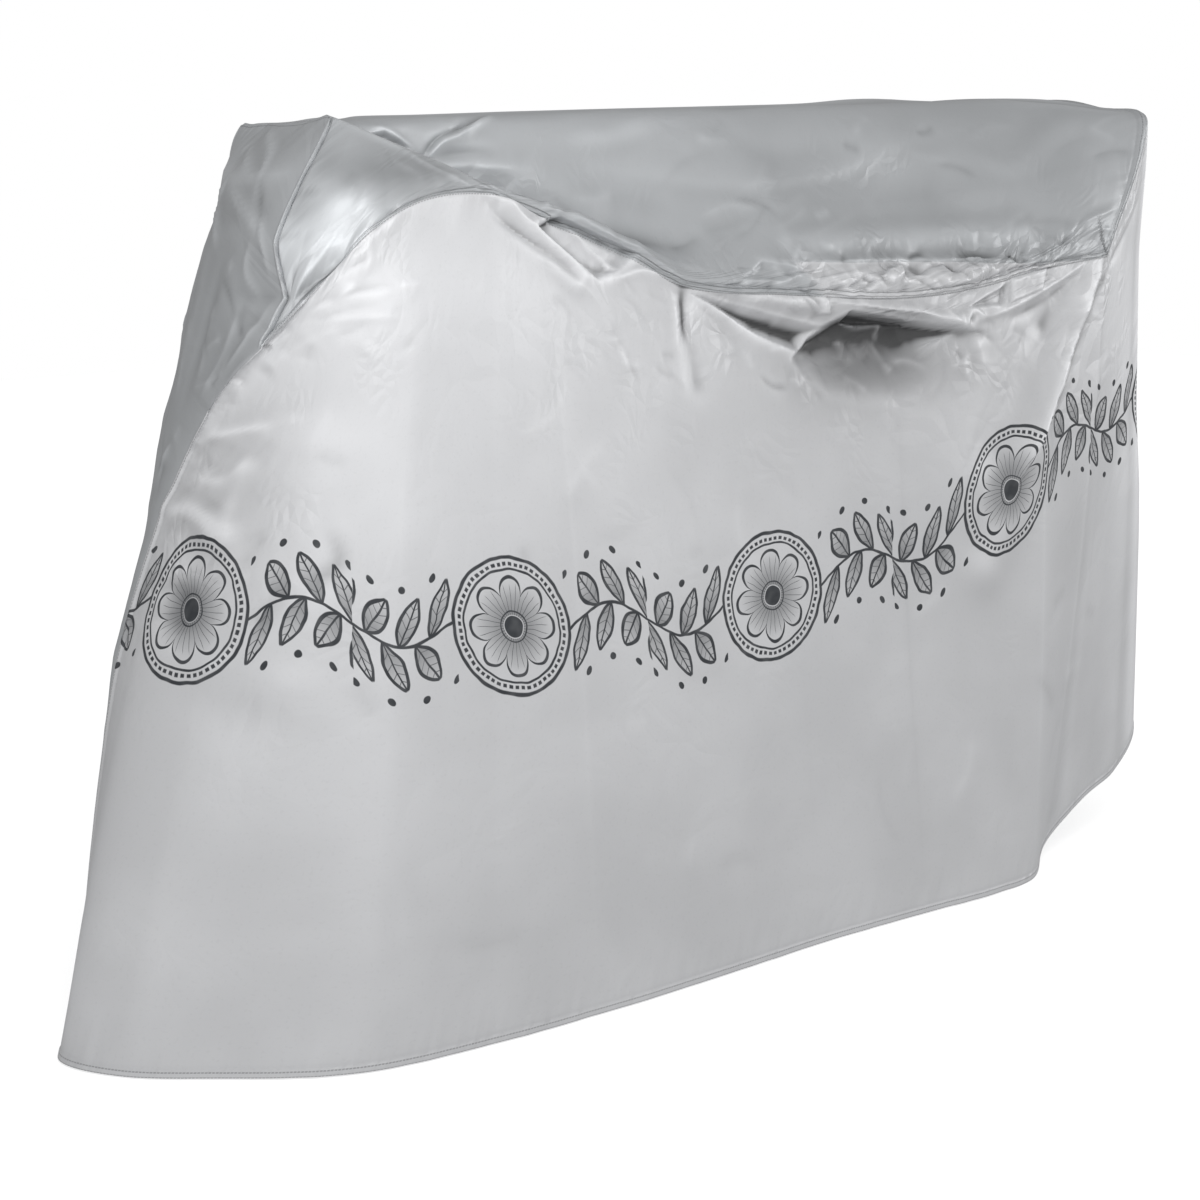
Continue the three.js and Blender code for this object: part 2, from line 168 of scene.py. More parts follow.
# Creases of the near side, of its panel and of the top panel as far as the crown. Each has its height, its
# width, how soft its crest is (2 soft, 1 sharp), how much wider it is on its left than on its right as it
# runs, and its path. The points of the paths were picked, their places on the solids were looked up, and many
# were then moved.
NEAR_CREASES = [
    # the shoulder and the bands beside its lip
    ("shoulder, first ray", 3, 4, 1.2, 0, [
        (-556, -204, 862), (-541, -212, 880), (-533, -212, 896), (-526, -213, 912),
    ]),
    ("shoulder, second ray", 3, 7, 1.4, 0.3, [(-553, -206, 865), (-530, -215, 894), (-500, -221, 934)]),
    ("shoulder, valley", -4, 8, 2, 0, [(-553, -208, 863), (-529, -218, 883), (-486, -234, 922)]),
    ("shoulder, upper tuck", -3, 3, 1.2, 0, [(-529, -130, 974), (-514, -167, 978), (-496, -190, 980)]),
    ("shoulder, lower tuck", -2, 3, 1.2, 0, [(-551, -165, 930), (-530, -195, 937)]),
    ("shoulder, swell", 5, 30, 2, 0.2, [(-515, -130, 980), (-493, -200, 979), (-443, -234, 965)]),
    ("groove over the arc", -3, 3, 1.3, 0, [
        (-556, -207, 860), (-501, -232, 905), (-465, -242, 936), (-441, -239, 958), (-400, -240, 971),
    ]),
    ("ridge in the arc", 2.5, 3, 1.3, 0, [
        (-585, -200, 820), (-555, -211, 847), (-513, -229, 891), (-496, -235, 909), (-467, -242, 934),
    ]),
    ("groove under the arc", -4, 3.5, 1.2, 0, [
        (-581, -192, 809), (-554, -209, 835), (-539, -219, 858), (-525, -224, 876), (-498, -238, 905),
    ]),
    ("shoulder, low ray", -0.9, 4, 1.6, 0.3, [(-560, -212, 845), (-500, -240, 868), (-440, -252, 878)]),
    ("shoulder, lower ray", 0.8, 4, 1.6, 0.3, [(-566, -212, 832), (-500, -248, 840), (-440, -262, 842)]),
    ("seam pucker 1", -1.0, 4, 1.3, 0, [(-540, -219, 834), (-503, -244, 850), (-466, -259, 857)]),
    ("seam pucker 2", 1.6, 3.5, 1.3, 0, [(-511, -237, 863), (-486, -249, 878)]),
    ("seam pucker 3", -1.6, 3.5, 1.3, 0, [(-504, -238, 892), (-470, -250, 909)]),
    ("seam pucker 4", 1.6, 3.5, 1.3, 0, [(-469, -245, 929), (-469, -249, 911), (-476, -251, 890)]),
    # the crest of the slump, and the crumples on the crown behind it
    ("crest of the slump", 4, 8, 1.5, -0.3, [
        (-449, -134, 1060), (-414, -157, 1040), (-357, -185, 1014), (-320, -222, 991),
        (-285, -222, 976), (-227, -215, 954), (-190, -215, 945),
    ]),
    ("crest, light line", 3, 3.5, 1.2, 0, [
        (-447, -135, 1060), (-419, -158, 1041), (-388, -178, 1023), (-371, -200, 1009),
        (-353, -220, 998), (-324, -226, 984), (-295, -226, 971), (-262, -230, 955),
    ]),
    ("crest, groove", -4, 4, 1.3, 0, [
        (-345, -132, 1027), (-322, -145, 1012), (-315, -190, 999), (-300, -218, 988),
        (-276, -218, 979), (-238, -214, 966),
    ]),
    ("cross fold", 7, 3.5, 1.1, -0.3, [
        (-326, -137, 1015), (-311, -136, 1031), (-303, -136, 1036), (-287, -138, 1041),
        (-261, -137, 1053), (-220, -121, 1066),
    ]),
    ("cross fold, groove", -8, 3, 1.1, 0, [
        (-331, -137, 1018), (-316, -136, 1035), (-307, -134, 1041), (-291, -134, 1047),
        (-266, -132, 1058), (-226, -115, 1067),
    ]),
    ("behind the cross fold", -4, 8, 1.8, 0, [(-319, -139, 1013), (-291, -144, 1020), (-233, -154, 1021)]),
    ("below the cross fold", 3, 6, 1.5, 0, [(-343, -180, 1010), (-286, -150, 1007), (-208, -160, 1002)]),
    ("before the cross fold", 3, 7, 1.6, 0, [(-430, -100, 1054), (-370, -110, 1050), (-320, -118, 1052)]),
    ("eye, outline", 3, 3, 1.1, 0, [
        (-415, -150, 1046), (-375, -111, 1050), (-352, -124, 1036), (-338, -131, 1024),
    ]),
    # the pleat, a fold that tucks in under the crest
    ("pleat, outer valley", -10, 8, 1.7, 0.2, [
        (-300, -240, 956), (-292, -242, 948), (-248, -239, 921), (-203, -237, 893), (-165, -235, 864),
    ]),
    ("pleat, front edge", 5, 8, 1.2, -0.5, [
        (-275, -228, 964), (-245, -235, 941), (-216, -228, 925), (-177, -231, 894), (-144, -231, 869),
    ]),
    ("pleat, long crest", 6, 7, 1.2, 0.6, [
        (-238, -214, 962), (-186, -214, 950), (-165, -215, 942), (-137, -218, 929),
        (-114, -221, 919), (-96, -224, 911), (-75, -228, 901), (-45, -235, 882), (-18, -241, 864),
    ]),
    ("pleat, under the long crest", -6, 3, 1.2, 0, [
        (-226, -214, 948), (-188, -215, 940), (-165, -216, 932), (-137, -219, 919), (-114, -222, 909),
        (-96, -225, 901), (-78, -229, 893),
    ]),
    ("pleat, short crest", 5, 4, 1.2, 0.4, [(-244, -229, 936), (-212, -220, 943), (-188, -214, 951)]),
    ("pleat, over the corner", 3, 5, 1.2, 0, [(-225, -214, 952), (-195, -214, 962), (-160, -214, 957)]),
    ("pleat, inner fold", 4, 6, 1.2, 0.4, [
        (-187, -214, 945), (-160, -219, 923), (-142, -228, 904), (-124, -227, 889), (-110, -232, 880),
    ]),
    ("pleat, bright tip", 3, 4, 1.2, 0, [(-126, -230, 886), (-107, -232, 879)]),
    ("pleat, foot", 5, 6, 1.2, -0.4, [
        (-144, -231, 868), (-107, -232, 872), (-76, -230, 878), (-30, -238, 862),
    ]),
    # the pinch, the roll and the pocket
    ("valley under the pinch", -6, 5, 1.4, 0, [(-17, -237, 852), (-19, -242, 820), (-21, -246, 782)]),
    ("left of the pinch", 2, 7, 1.6, 0, [(-30, -237, 850), (-33, -242, 815), (-40, -246, 775)]),
    ("roll, narrow end", 5, 6, 1.6, 0, [(-14, -241, 853), (30, -250, 848), (75, -256, 842)]),
    ("roll", 10, 13, 1.8, 0.2, [(45, -256, 845), (110, -264, 834), (150, -268, 827), (182, -272, 820)]),
    ("roll, upper line", -4, 3, 1.2, 0, [
        (-16, -241, 859), (40, -253, 855), (90, -264, 851), (150, -272, 843), (188, -277, 836),
    ]),
    ("twist, dark fold", -5, 4, 1.2, 0, [(141, -273, 850), (170, -272, 832), (183, -258, 812)]),
    ("twist, light fold", 5, 4, 1.2, 0, [(178, -272, 836), (192, -266, 824), (188, -258, 808)]),
    ("edge of the pocket", 5, 8, 1.0, -0.5, [
        (-10, -240, 848), (40, -240, 821), (89, -236, 793), (122, -242, 777), (155, -249, 765),
    ]),
    ("fold up from the pocket", 5, 7, 1.2, 0, [(155, -249, 765), (184, -250, 779), (211, -256, 799)]),
    ("pocket, small fold", -3, 4, 1.2, 0, [(164, -247, 774), (179, -247, 785)]),
    ("pocket, short fold", 3, 6, 1.4, 0, [(302, -263, 783), (335, -278, 763), (314, -272, 754)]),
    ("pocket, light ridge", 4, 7, 1.4, 0, [(346, -286, 756), (378, -300, 768), (415, -310, 783)]),
    ("pocket, faint ridge", 1.5, 6, 1.5, 0, [(232, -262, 790), (290, -272, 796), (350, -285, 782)]),
    ("ledge", 12, 8, 1.3, 0.5, [
        (206, -276, 826), (240, -279, 821), (283, -282, 814), (330, -290, 807), (363, -296, 800),
        (405, -309, 789), (424, -311, 783),
    ]),
    ("star, first ray", 5, 4, 1.1, 0, [(414, -311, 784), (421, -310, 798), (427, -309, 814)]),
    ("star, second ray", 5, 4, 1.1, 0, [(427, -309, 813), (441, -310, 804), (458, -311, 795)]),
    ("star, third ray", 4, 4, 1.1, 0, [(414, -311, 786), (392, -308, 800), (377, -300, 815)]),
    ("star, valley", -4, 4, 1.2, 0, [(420, -311, 790), (432, -310, 798)]),
    # the crumpled band over the seam, and the strip that rises to the tail
    ("top of the crumpled band", 5, 6, 1.2, 0.2, [
        (97, -250, 886), (158, -262, 880), (243, -265, 876), (324, -267, 874), (412, -274, 871),
        (497, -292, 867), (557, -299, 865), (634, -296, 868), (714, -292, 868),
    ]),
    ("before the band, streak", 4, 4, 1.2, 0, [(108, -268, 852), (130, -268, 861), (154, -269, 871)]),
    ("band, long fold", -5, 5, 1.2, 0, [(190, -278, 837), (222, -279, 849), (253, -280, 863)]),
    ("band, star", 4, 4, 1.1, 0, [(280, -283, 859), (302, -278, 864), (325, -272, 870)]),
    ("band, star, lower", 4, 4, 1.1, 0, [(291, -292, 845), (306, -286, 853), (323, -274, 868)]),
    ("band, right fold", -4, 6, 1.3, 0, [(332, -276, 868), (352, -284, 855), (391, -296, 838)]),
    ("band, right ridge", 4, 6, 1.2, 0.2, [(400, -296, 838), (452, -292, 856), (488, -290, 866)]),
    ("band, long dark line", -6, 4, 1.2, 0, [
        (380, -301, 818), (442, -300, 837), (508, -301, 856), (591, -298, 865), (701, -292, 871),
    ]),
    ("strip, upright fold", -5, 4, 1.2, 0, [(502, -301, 842), (497, -303, 826), (491, -305, 810)]),
    ("strip, fork", 4, 5, 1.2, 0, [(425, -308, 812), (462, -304, 826), (499, -301, 840)]),
    ("strip, light edge", 5, 5, 1.1, 0.3, [
        (437, -313, 792), (486, -306, 801), (530, -303, 812), (571, -300, 825), (620, -298, 844),
        (664, -297, 861),
    ]),
    ("strip, below the edge", -3, 8, 1.6, 0, [(500, -308, 790), (580, -304, 812), (650, -300, 846)]),
    # the tail
    ("tail ridge", 11, 9, 1.05, -0.5, [
        (787, -282, 958), (740, -295, 903), (694, -305, 846), (655, -318, 794), (622, -326, 742),
        (586, -336, 691), (553, -346, 642), (507, -355, 585), (470, -358, 540),
    ]),
    ("behind the tail ridge", -5, 6, 1.2, 0, [
        (796, -283, 946), (751, -295, 892), (705, -306, 835), (666, -318, 783), (633, -326, 731),
        (597, -336, 680), (564, -346, 631),
    ]),
    ("tail corner, drawn in", -9, 42, 2, 0, [(812, -278, 1010), (814, -283, 780), (818, -290, 520)]),
    ("rear corner, pucker", 3, 5, 1.2, 0, [(655, -292, 893), (690, -290, 905), (735, -288, 905)]),
    ("rear corner, long pucker", 3, 7, 1.3, 0, [(600, -297, 872), (650, -288, 910), (740, -284, 935)]),
    ("under the tail, soft", -4, 16, 2, 0, [(631, -310, 824), (605, -307, 811), (566, -308, 757)]),
    # long soft folds on the slope of the crown
    ("crown slope, first fold", 3, 14, 2, 0, [
        (-141, -149, 1035), (-64, -149, 1042), (-16, -147, 1054), (21, -145, 1061),
    ]),
    ("crown slope, long fold", 2, 20, 2, 0.4, [
        (-103, -160, 1004), (-32, -170, 995), (51, -187, 984), (141, -199, 982), (305, -193, 1002),
        (407, -181, 1031), (523, -180, 1047),
    ]),
    ("crown slope, low fold", -2, 18, 2, 0, [(-152, -165, 969), (-67, -175, 961), (13, -194, 945)]),
    ("crown slope, valley", -2, 20, 2, 0, [
        (76, -155, 1046), (158, -179, 1020), (260, -181, 1019), (350, -182, 1025),
    ]),
    ("crown slope, rear fold", 3, 18, 2, 0, [
        (504, -201, 1017), (574, -231, 989), (678, -226, 1043), (763, -244, 1064),
    ]),
    # the nose and the hanging side
    ("nose, down from the top", -5, 9, 1.3, 0, [(-600, -161, 806), (-616, -141, 771), (-626, -130, 725)]),
    ("nose, cross crease", 5, 8, 1.3, 0, [
        (-634, -102, 664), (-626, -138, 656), (-608, -166, 670), (-596, -181, 688),
    ]),
    ("nose, bulge", 6, 12, 1.5, 0.3, [
        (-658, -79, 604), (-649, -102, 618), (-640, -137, 611), (-635, -163, 585),
    ]),
    ("nose, hanging fold", -6, 12, 1.6, 0, [(-671, -115, 552), (-673, -143, 522), (-686, -142, 488)]),
    ("nose, long side crease", 3, 6, 1.3, 0.3, [(-627, -117, 700), (-599, -165, 715), (-574, -203, 723)]),
    ("nose, upright crease", 3, 6, 1.3, 0, [(-604, -172, 670), (-626, -160, 613), (-630, -177, 570)]),
    ("pocket, lower drape 1", -3, 24, 2, 0, [
        (251, -261, 727), (319, -286, 711), (408, -309, 734), (484, -310, 760),
    ]),
    ("pocket, lower drape 2", 3, 10, 1.6, 0, [(434, -311, 779), (452, -315, 724)]),
    ("side, small crease", -3, 9, 1.4, 0, [(-571, -268, 543), (-537, -279, 575), (-543, -268, 609)]),
]

# Dents (-) and raised faces (+) of the near side with straight sides and a crisp or a soft rim. The
# corners run anticlockwise as X, height and how far the side behind that corner slopes.
NEAR_FACETS = [
    ("pocket, under the roll", -17, "crisp", [(-11, 849, 20), (89, 791, 22), (155, 764, 34), (190, 796, 26)]),
    ("pocket, under the ledge", -24, "soft", [
        (130, 756, 46), (152, 724, 72), (186, 698, 92), (236, 685, 100), (290, 685, 100),
        (342, 698, 92), (394, 724, 72), (438, 752, 46), (466, 777, 16), (417, 786, 12), (225, 818, 20),
        (166, 790, 20),
    ]),
    ("slot", -34, "crisp", [(226, 796, 10), (262, 788, 12), (340, 786, 12), (330, 797, 8), (228, 816, 8)]),
    ("pleat", -9, "crisp", [(-235, 934, 10), (-144, 870, 6), (-107, 879, 14), (-76, 898, 4), (-187, 947, 4)]),
    ("eye-shaped crumple", -8, "crisp", [
        (-413, 1042, 8), (-387, 1030, 8), (-345, 1026, 2.5), (-358, 1037, 2.5), (-373, 1046, 3),
    ]),
    ("band, square", -7, "crisp", [(219, 845, 6), (252, 838, 6), (271, 853, 4), (254, 864, 4)]),
    ("band, star", 7, "crisp", [(280, 859, 6), (291, 846, 5), (313, 854, 5), (323, 869, 6)]),
    ("band, long face", 6, "crisp", [(330, 856, 10), (372, 834, 8), (430, 846, 10), (402, 868, 6)]),
    ("band, front face", -6, "crisp", [(60, 862, 10), (120, 858, 8), (170, 870, 8), (100, 884, 6)]),
    ("strip, face", -5, "crisp", [(421, 810, 5), (491, 810, 4), (499, 839, 5)]),
    ("strip, long face", 4, "crisp", [(505, 812, 5), (571, 828, 6), (585, 858, 5), (510, 846, 5)]),
    ("twist", 5, "crisp", [(150, 838, 5), (178, 812, 4), (196, 812, 4), (186, 838, 5)]),
]

# Creases of the front panel, which is seen from -X.
FRONT_CREASES = [
    ("streak from the corner", 4, 5, 1.2, 0, [
        (-440, 30, 1050), (-493, -57, 1019), (-516, -80, 997), (-530, -95, 975),
    ]),
    ("streak beside the outline", 4, 6, 1.3, 0, [
        (-500, 30, 1005), (-520, 20, 965), (-545, -15, 940), (-562, -47, 915),
    ]),
    ("middle streak", 3, 4, 1.2, 0, [(-462, 60, 1032), (-496, -10, 1010), (-520, -66, 991)]),
    ("slanting streak", 4, 6, 1.2, 0, [(-519, -6, 984), (-544, -102, 953), (-553, -153, 933)]),
    ("beside the lip, upper", -3, 4, 1.2, 0, [(-500, -60, 1010), (-527, -99, 981), (-545, -130, 953)]),
    ("beside the lip, lower", 3, 4, 1.2, 0, [(-545, -128, 955), (-557, -153, 927), (-570, -170, 890)]),
    ("outline hollow", -20, 75, 2, 0, [(-500, 112, 915), (-537, 118, 833), (-566, 84, 772), (-612, 26, 700)]),
    ("long fold", -2, 13, 2, 0, [(-567, -79, 913), (-601, -88, 823), (-634, -82, 720)]),
    ("fold by the seam", 2, 8, 1.2, 0, [(-584, -147, 861), (-603, -143, 805), (-626, -120, 747)]),
    ("crease by the slit", 2.5, 5, 1.2, 0, [(-577, -179, 862), (-588, -178, 829), (-610, -154, 783)]),
    ("middle fold", 2, 16, 2, 0, [(-549, -17, 932), (-590, -41, 842), (-622, -45, 750)]),
    ("short fold", 2.5, 5, 1.2, 0, [(-561, -131, 926), (-573, -138, 893), (-581, -165, 862)]),
    ("low fold", -1.5, 7, 1.4, 0, [(-621, -148, 749), (-634, -104, 687), (-660, -70, 600)]),
    ("hanging fold", 7, 24, 2, 0, [(-640, 40, 700), (-690, 30, 450), (-705, 10, 180)]),
    ("hanging valley", -6, 26, 2, 0, [(-630, -20, 690), (-686, -10, 440), (-702, -20, 200)]),
    ("far hanging fold", 6, 26, 2, 0, [(-600, 110, 740), (-640, 120, 430), (-640, 100, 150)]),
]

# Creases of the flat of the crown, which is seen from above.
CROWN_CREASES = [
    ("from the shoulder", 2, 12, 1.8, 0, [(-430, -60, 1058), (-330, -20, 1060), (-230, 30, 1062)]),
    ("across the front", -4, 14, 2, 0, [(-410, 20, 1057), (-340, 60, 1058), (-300, 120, 1058)]),
    ("over the middle", 2, 20, 2, 0, [(-60, -110, 1067), (60, -40, 1070), (160, 60, 1073)]),
    ("beside the middle", -4, 24, 2, 0, [(120, -120, 1072), (280, -60, 1075), (420, -80, 1079)]),
    ("to the tail", 2, 22, 2, 0, [(430, 20, 1079), (600, -70, 1083), (760, -160, 1084)]),
    ("tail, far", 2, 24, 2, 0, [(480, 90, 1080), (640, 130, 1083), (790, 200, 1070)]),
    ("tail corner", -4, 14, 1.8, 0, [(650, -120, 1083), (740, -190, 1078), (800, -240, 1070)]),
]

# Softer folds of the far side, of its panel and of the far half of the top panel.
FAR_CREASES = [
    ("far slump, upper", 7, 14, 1.6, 0.3, [(-150, 222, 930), (-20, 238, 868), (120, 262, 850)]),
    ("far slump, lower", -12, 22, 2, 0, [(40, 250, 800), (170, 262, 770), (320, 285, 780)]),
    ("far pinch", 6, 9, 1.5, 0, [(-10, 242, 845), (60, 245, 800), (150, 258, 765)]),
    ("far finger", 8, 14, 1.6, 0, [(-260, 235, 945), (-190, 235, 905), (-130, 232, 865)]),
    ("far finger valley", -7, 12, 1.8, 0, [(-230, 232, 955), (-160, 226, 910), (-100, 230, 870)]),
    ("far band", 5, 7, 1.5, 0, [(150, 262, 880), (320, 268, 874), (480, 290, 868)]),
    ("far band valley", -5, 7, 1.6, 0, [(220, 282, 848), (380, 292, 842), (540, 298, 858)]),
    ("far tail ridge", 8, 18, 1.6, 0.2, [(790, 279, 975), (680, 308, 840), (560, 340, 660), (480, 356, 520)]),
    ("far long fold", 8, 30, 2, 0, [(-340, 240, 900), (-320, 330, 500), (-300, 400, 120)]),
    ("far hanging fold", 7, 32, 2, 0, [(130, 290, 700), (150, 350, 400), (130, 400, 90)]),
    ("far rear fold", 7, 26, 2, 0, [(520, 310, 760), (470, 350, 450), (450, 395, 120)]),
    ("tail, hanging fold", 6, 30, 2, 0, [(858, 70, 700), (872, 80, 500), (884, 70, 220)]),
    ("far crown slope", 5, 18, 2, 0, [(-60, 170, 1000), (140, 190, 985), (400, 185, 1025)]),
]

# Short random creases: the panel, X range, Z range, how many, lengths, heights, widths, headings in
# degrees from the seam's direction, and the seed.
SCATTERS = [
    ("top_cloth", (-590, -450), (860, 1000), 26, (14, 40), (0.3, 1.0), (3, 6), (10, 80), 3),
    ("top_cloth", (-470, -230), (960, 1060), 26, (14, 50), (0.4, 1.5), (4, 7), (-70, 30), 4),
    ("top_cloth", (60, 720), (840, 900), 80, (14, 50), (1.3, 3.4), (4, 8), (-75, 75), 5),
    ("top_cloth", (-200, 760), (900, 1050), 40, (30, 110), (0.6, 2.0), (6, 12), (-35, 35), 6),
    ("near_side", (-600, -440), (780, 930), 22, (16, 50), (0.3, 0.9), (4, 7), (-60, 40), 7),
    ("near_side", (-230, 30), (760, 940), 26, (16, 50), (0.4, 1.3), (4, 8), (-70, 20), 8),
    ("near_side", (30, 480), (730, 850), 56, (14, 60), (0.5, 2.0), (4, 8), (-80, 80), 9),
    ("near_side", (480, 720), (740, 870), 18, (16, 60), (0.4, 1.2), (4, 8), (-40, 70), 10),
    ("near_side", (-720, -540), (440, 800), 40, (18, 60), (0.5, 1.8), (6, 11), (-80, 80), 11),
    ("near_side", (-560, 700), (100, 700), 40, (30, 120), (0.3, 1.0), (9, 16), (-80, 80), 12),
    ("front_gore", (-720, -460), (640, 1060), 40, (16, 70), (0.6, 2.4), (4, 9), (30, 150), 13),
    ("front_gore", (-720, -600), (60, 640), 16, (40, 120), (0.8, 2.4), (9, 18), (50, 130), 14),
    ("far_side", (-480, 700), (700, 900), 50, (16, 70), (0.8, 2.6), (5, 10), (-80, 80), 15),
    ("far_side", (-520, 860), (100, 700), 36, (40, 130), (0.5, 1.6), (9, 18), (-80, 80), 16),
]

# The printed garland in metres: its middle above a base line given as X and height in millimetres,
# the first rosette's place along the print, and the step from one rosette to the next.
PRINT_BASE = [
    (-609, 416), (-483, 401), (-217, 368), (-27, 353), (161, 372), (281, 389), (544, 486), (760, 553),
]
PRINT_LEVEL = 450  # height at which the print's own length is measured
PRINT_MIDDLE = 0.10
ROSETTE_START = 0.13
ROSETTE_STEP = 0.41
INK = (0.030, 0.034, 0.040)
# The sides' silver, and a darker copy of it that is painted shade on the top and front panels, which get less
# light.
SILVER = (0.66, 0.665, 0.68)
SHADED_SILVER = (0.48, 0.495, 0.51)

LEAF_STEP = 0.040  # from one leaf to the next on the same side of a stem
LEAF_LENGTH = 0.058
LEAF_HALF = 0.0115
LEAF_TURN = 62  # degrees from the stem
LEAVES_END = 0.100  # where a spray's last leaf may start, from its middle
STEM_HALF = 0.0019
STEM_WAVE = 0.024
STEM_LENGTH = 0.115  # half of one whole wave
SPRAY_END = 0.124
BERRY_HEIGHT = 0.064  # above the stem
BERRY_RADIUS = 0.0045

# The rosette: its petals, eye and beads, and its rings as radius and half width.
PETAL_START = 0.034
PETAL_REACH = 0.024
EYE_RADIUS = 0.013
BEAD_COUNT = 28
BEAD_RING = (0.0725, 0.0022)
RINGS = [(0.0805, 0.0022), (0.0665, 0.0014), (0.018, 0.001)]
OUTLINE_HALF = 0.0021
INK_BLUR = 0.0005  # how softly outlines, the eye and berries end
FILL_BLUR = 0.0006  # how softly a petal's or a leaf's inside ends

# Where the film is finely crumpled: the panel, X, height, half length, half height and how much.
CRUMPLES = [
    ("top_cloth", -520, 930, 100, 100, 0.35),
    ("top_cloth", -330, 1010, 170, 60, 0.5),
    ("top_cloth", 400, 868, 400, 40, 2.0),
    ("top_cloth", 200, 990, 560, 70, 0.25),
    ("near_side", -500, 850, 140, 80, 0.15),
    ("near_side", -60, 850, 200, 90, 0.7),
    ("near_side", 230, 770, 300, 100, 1.0),
    ("near_side", -640, 600, 80, 160, 0.9),
    ("near_side", 640, 800, 140, 140, 0.6),
    ("front_gore", -560, 860, 200, 260, 0.6),
    ("far_side", 100, 800, 500, 120, 0.8),
]
CRUMPLE_BASE = 0.16
BENT_FACETS = [(17.0, 0.0075), (43.0, 0.0030)]  # per metre, and their height in metres
STITCH_LINES = (0.0032, 0.0092)  # distances from the sewn edge in metres
STITCH_STEP = 0.0042
METAL = 0.18
INK_METAL = 0.03

# Painted light and shade in the film's colour, which stays on the cloth under any light: a painted highlight
# on a crease's crest and painted shade in its trough, as how much lighter the colour is for a crease this
# high; how much darker the painted shade is in folds and broad hollows, between two depths, in the line
# beside the lip and in the slit; and the darkest share of its colour.
CREASE_LIGHT_AND_SHADE = 0.24
SHARP_CREASE = 1.8
FOLD_SHADE = 0.42
FOLD_DEPTHS = (2.5, 8)
HOLLOW_SHADE = 0.36
HOLLOW_DEPTHS = (4, 15)
LIP_SHADE = 0.45
SLIT_SHADE = 0.8
DARKEST = 0.12
SMOOTHINGS = (12, 60, 200)  # rounds of smoothing that take away creases, folds and hollows

# Patches of painted light (+) and shade (-): the panel, X, height, half length, half height and how
# much. The last two make the pocket darker than its shape alone would.
LIGHT_AND_SHADE_PATCHES = [
    ("top_cloth", -500, 932, 62, 38, 0.38),
    ("top_cloth", -420, 1000, 80, 26, -0.32),
    ("front_gore", -590, 780, 150, 260, -0.14),
    ("near_side", -350, 840, 260, 140, 0.07),
    ("near_side", 800, 780, 66, 220, 0.22),
    ("near_side", 120, 792, 60, 18, 0.12),
    ("near_side", 258, 740, 126, 50, -0.54),
    ("near_side", 262, 795, 60, 20, -0.5),
]

ROOM_LEVEL = 0.40
ROOM_LIGHT = (-0.71, -0.71, 0)  # direction in which the studio is brightest
ROOM_MORE = 0.48  # how much brighter it is there
FLOOR_HALF = 6.0
FLOOR_GAP = 0.002
FLOOR_GLOW = 0.62

# Soft boxes in metres: name, place, aim, sides and power in watts.
SOFT_BOXES = [
    ("nose_box", (-0.75, -1.1, 0.25), (-0.40, -0.24, -0.15), (0.7, 0.6), 5.6),
    ("tail_box", (3.2, -2.0, 0.5), (0.75, -0.3, -0.2), (0.7, 0.6), 26),
]

CAMERA_PLACE = (-1.665, -2.33, 0.004)
CAMERA_TURN = -36  # degrees
CAMERA_PITCH = 13.1  # degrees below level
CAMERA_LENS = 63  # millimetres on a sensor 36 wide

# Upper border of the crumpled band on the top panel, which is painted light in the sides' lighter silver
# where the band faces the light, as X and height.
LIT_BAND_BORDER = [
    (90, 884), (170, 880), (243, 876), (324, 874), (412, 871), (497, 867), (557, 864),
    (634, 864), (714, 864),
]

# Distances below the top seam of a side panel's lines of cells, as millimetres of a 1 m panel.
SIDE_SPACING = [(40, 2.0), (150, 3.2), (330, 5.0), (970, 9.6), (1000, 2.6)]


def smooth_line(points, places):
    """Points on smooth curves through the given ones (centripetal), places counted in spans."""
    points = np.asarray(points, float)
    before = 2 * points[0] - points[1]
    after = 2 * points[-1] - points[-2]
    padded = np.concatenate([before[None], points, after[None]])
    gaps = np.sum((padded[1:] - padded[:-1]) ** 2, axis=-1, keepdims=True) ** 0.25
    places = np.asarray(places, float)
    span = np.clip(np.floor(places).astype(int), 0, len(points) - 2)
    share = (places - span).reshape((-1,) + (1,) * (points.ndim - 1))
    p0, p1, p2, p3 = (padded[span + step] for step in range(4))
    d0, d1, d2 = (gaps[span + step] for step in range(3))
    d1 = np.where(d1 < 1e-4, 1, d1)
    d0 = np.where(d0 < 1e-4, d1, d0)
    d2 = np.where(d2 < 1e-4, d1, d2)
    start = d1 * ((p1 - p0) / d0 - (p2 - p0) / (d0 + d1) + (p2 - p1) / d1)
    end = d1 * ((p2 - p1) / d1 - (p3 - p1) / (d1 + d2) + (p3 - p2) / d2)
    square = share ** 2
    cube = share ** 3
    return (
        p1 * (2 * cube - 3 * square + 1)
        + p2 * (3 * square - 2 * cube)
        + start * (cube - 2 * square + share)
        + end * (cube - square)
    )


def spans(cells):
    """Places along a table's rows, with a number of cells for each span."""
    places = [row + step / count for row, count in enumerate(cells) for step in range(count)]
    return np.array(places + [len(cells)])


def smoothstep(value, low, high):
    share = np.clip((value - low) / (high - low), 0, 1)
    return share * share * (3 - 2 * share)


def read_at(table, height):
    """Straight-line reading of a table of height and value."""
    heights, values = np.array(table, float).T
    return np.interp(height, heights, values)


def to_far(near):
    """The far half mirrors the near one, with its nose pulled back."""
    along = smoothstep(-near[..., 0], -PULL_START, -PULL_WHOLE)
    far = near * np.array([1, -1, 1])
    far[..., 0] += along * read_at(NOSE_PULL, near[..., 2])
    return far


def row_places(cells=()):
    """Places along the top seam's rows, closer together at the nose, and then round the tail."""
    places = spans(ROW_CELLS + list(cells))
    return np.where(places < 1, places ** SEAM_CROWDING, places)


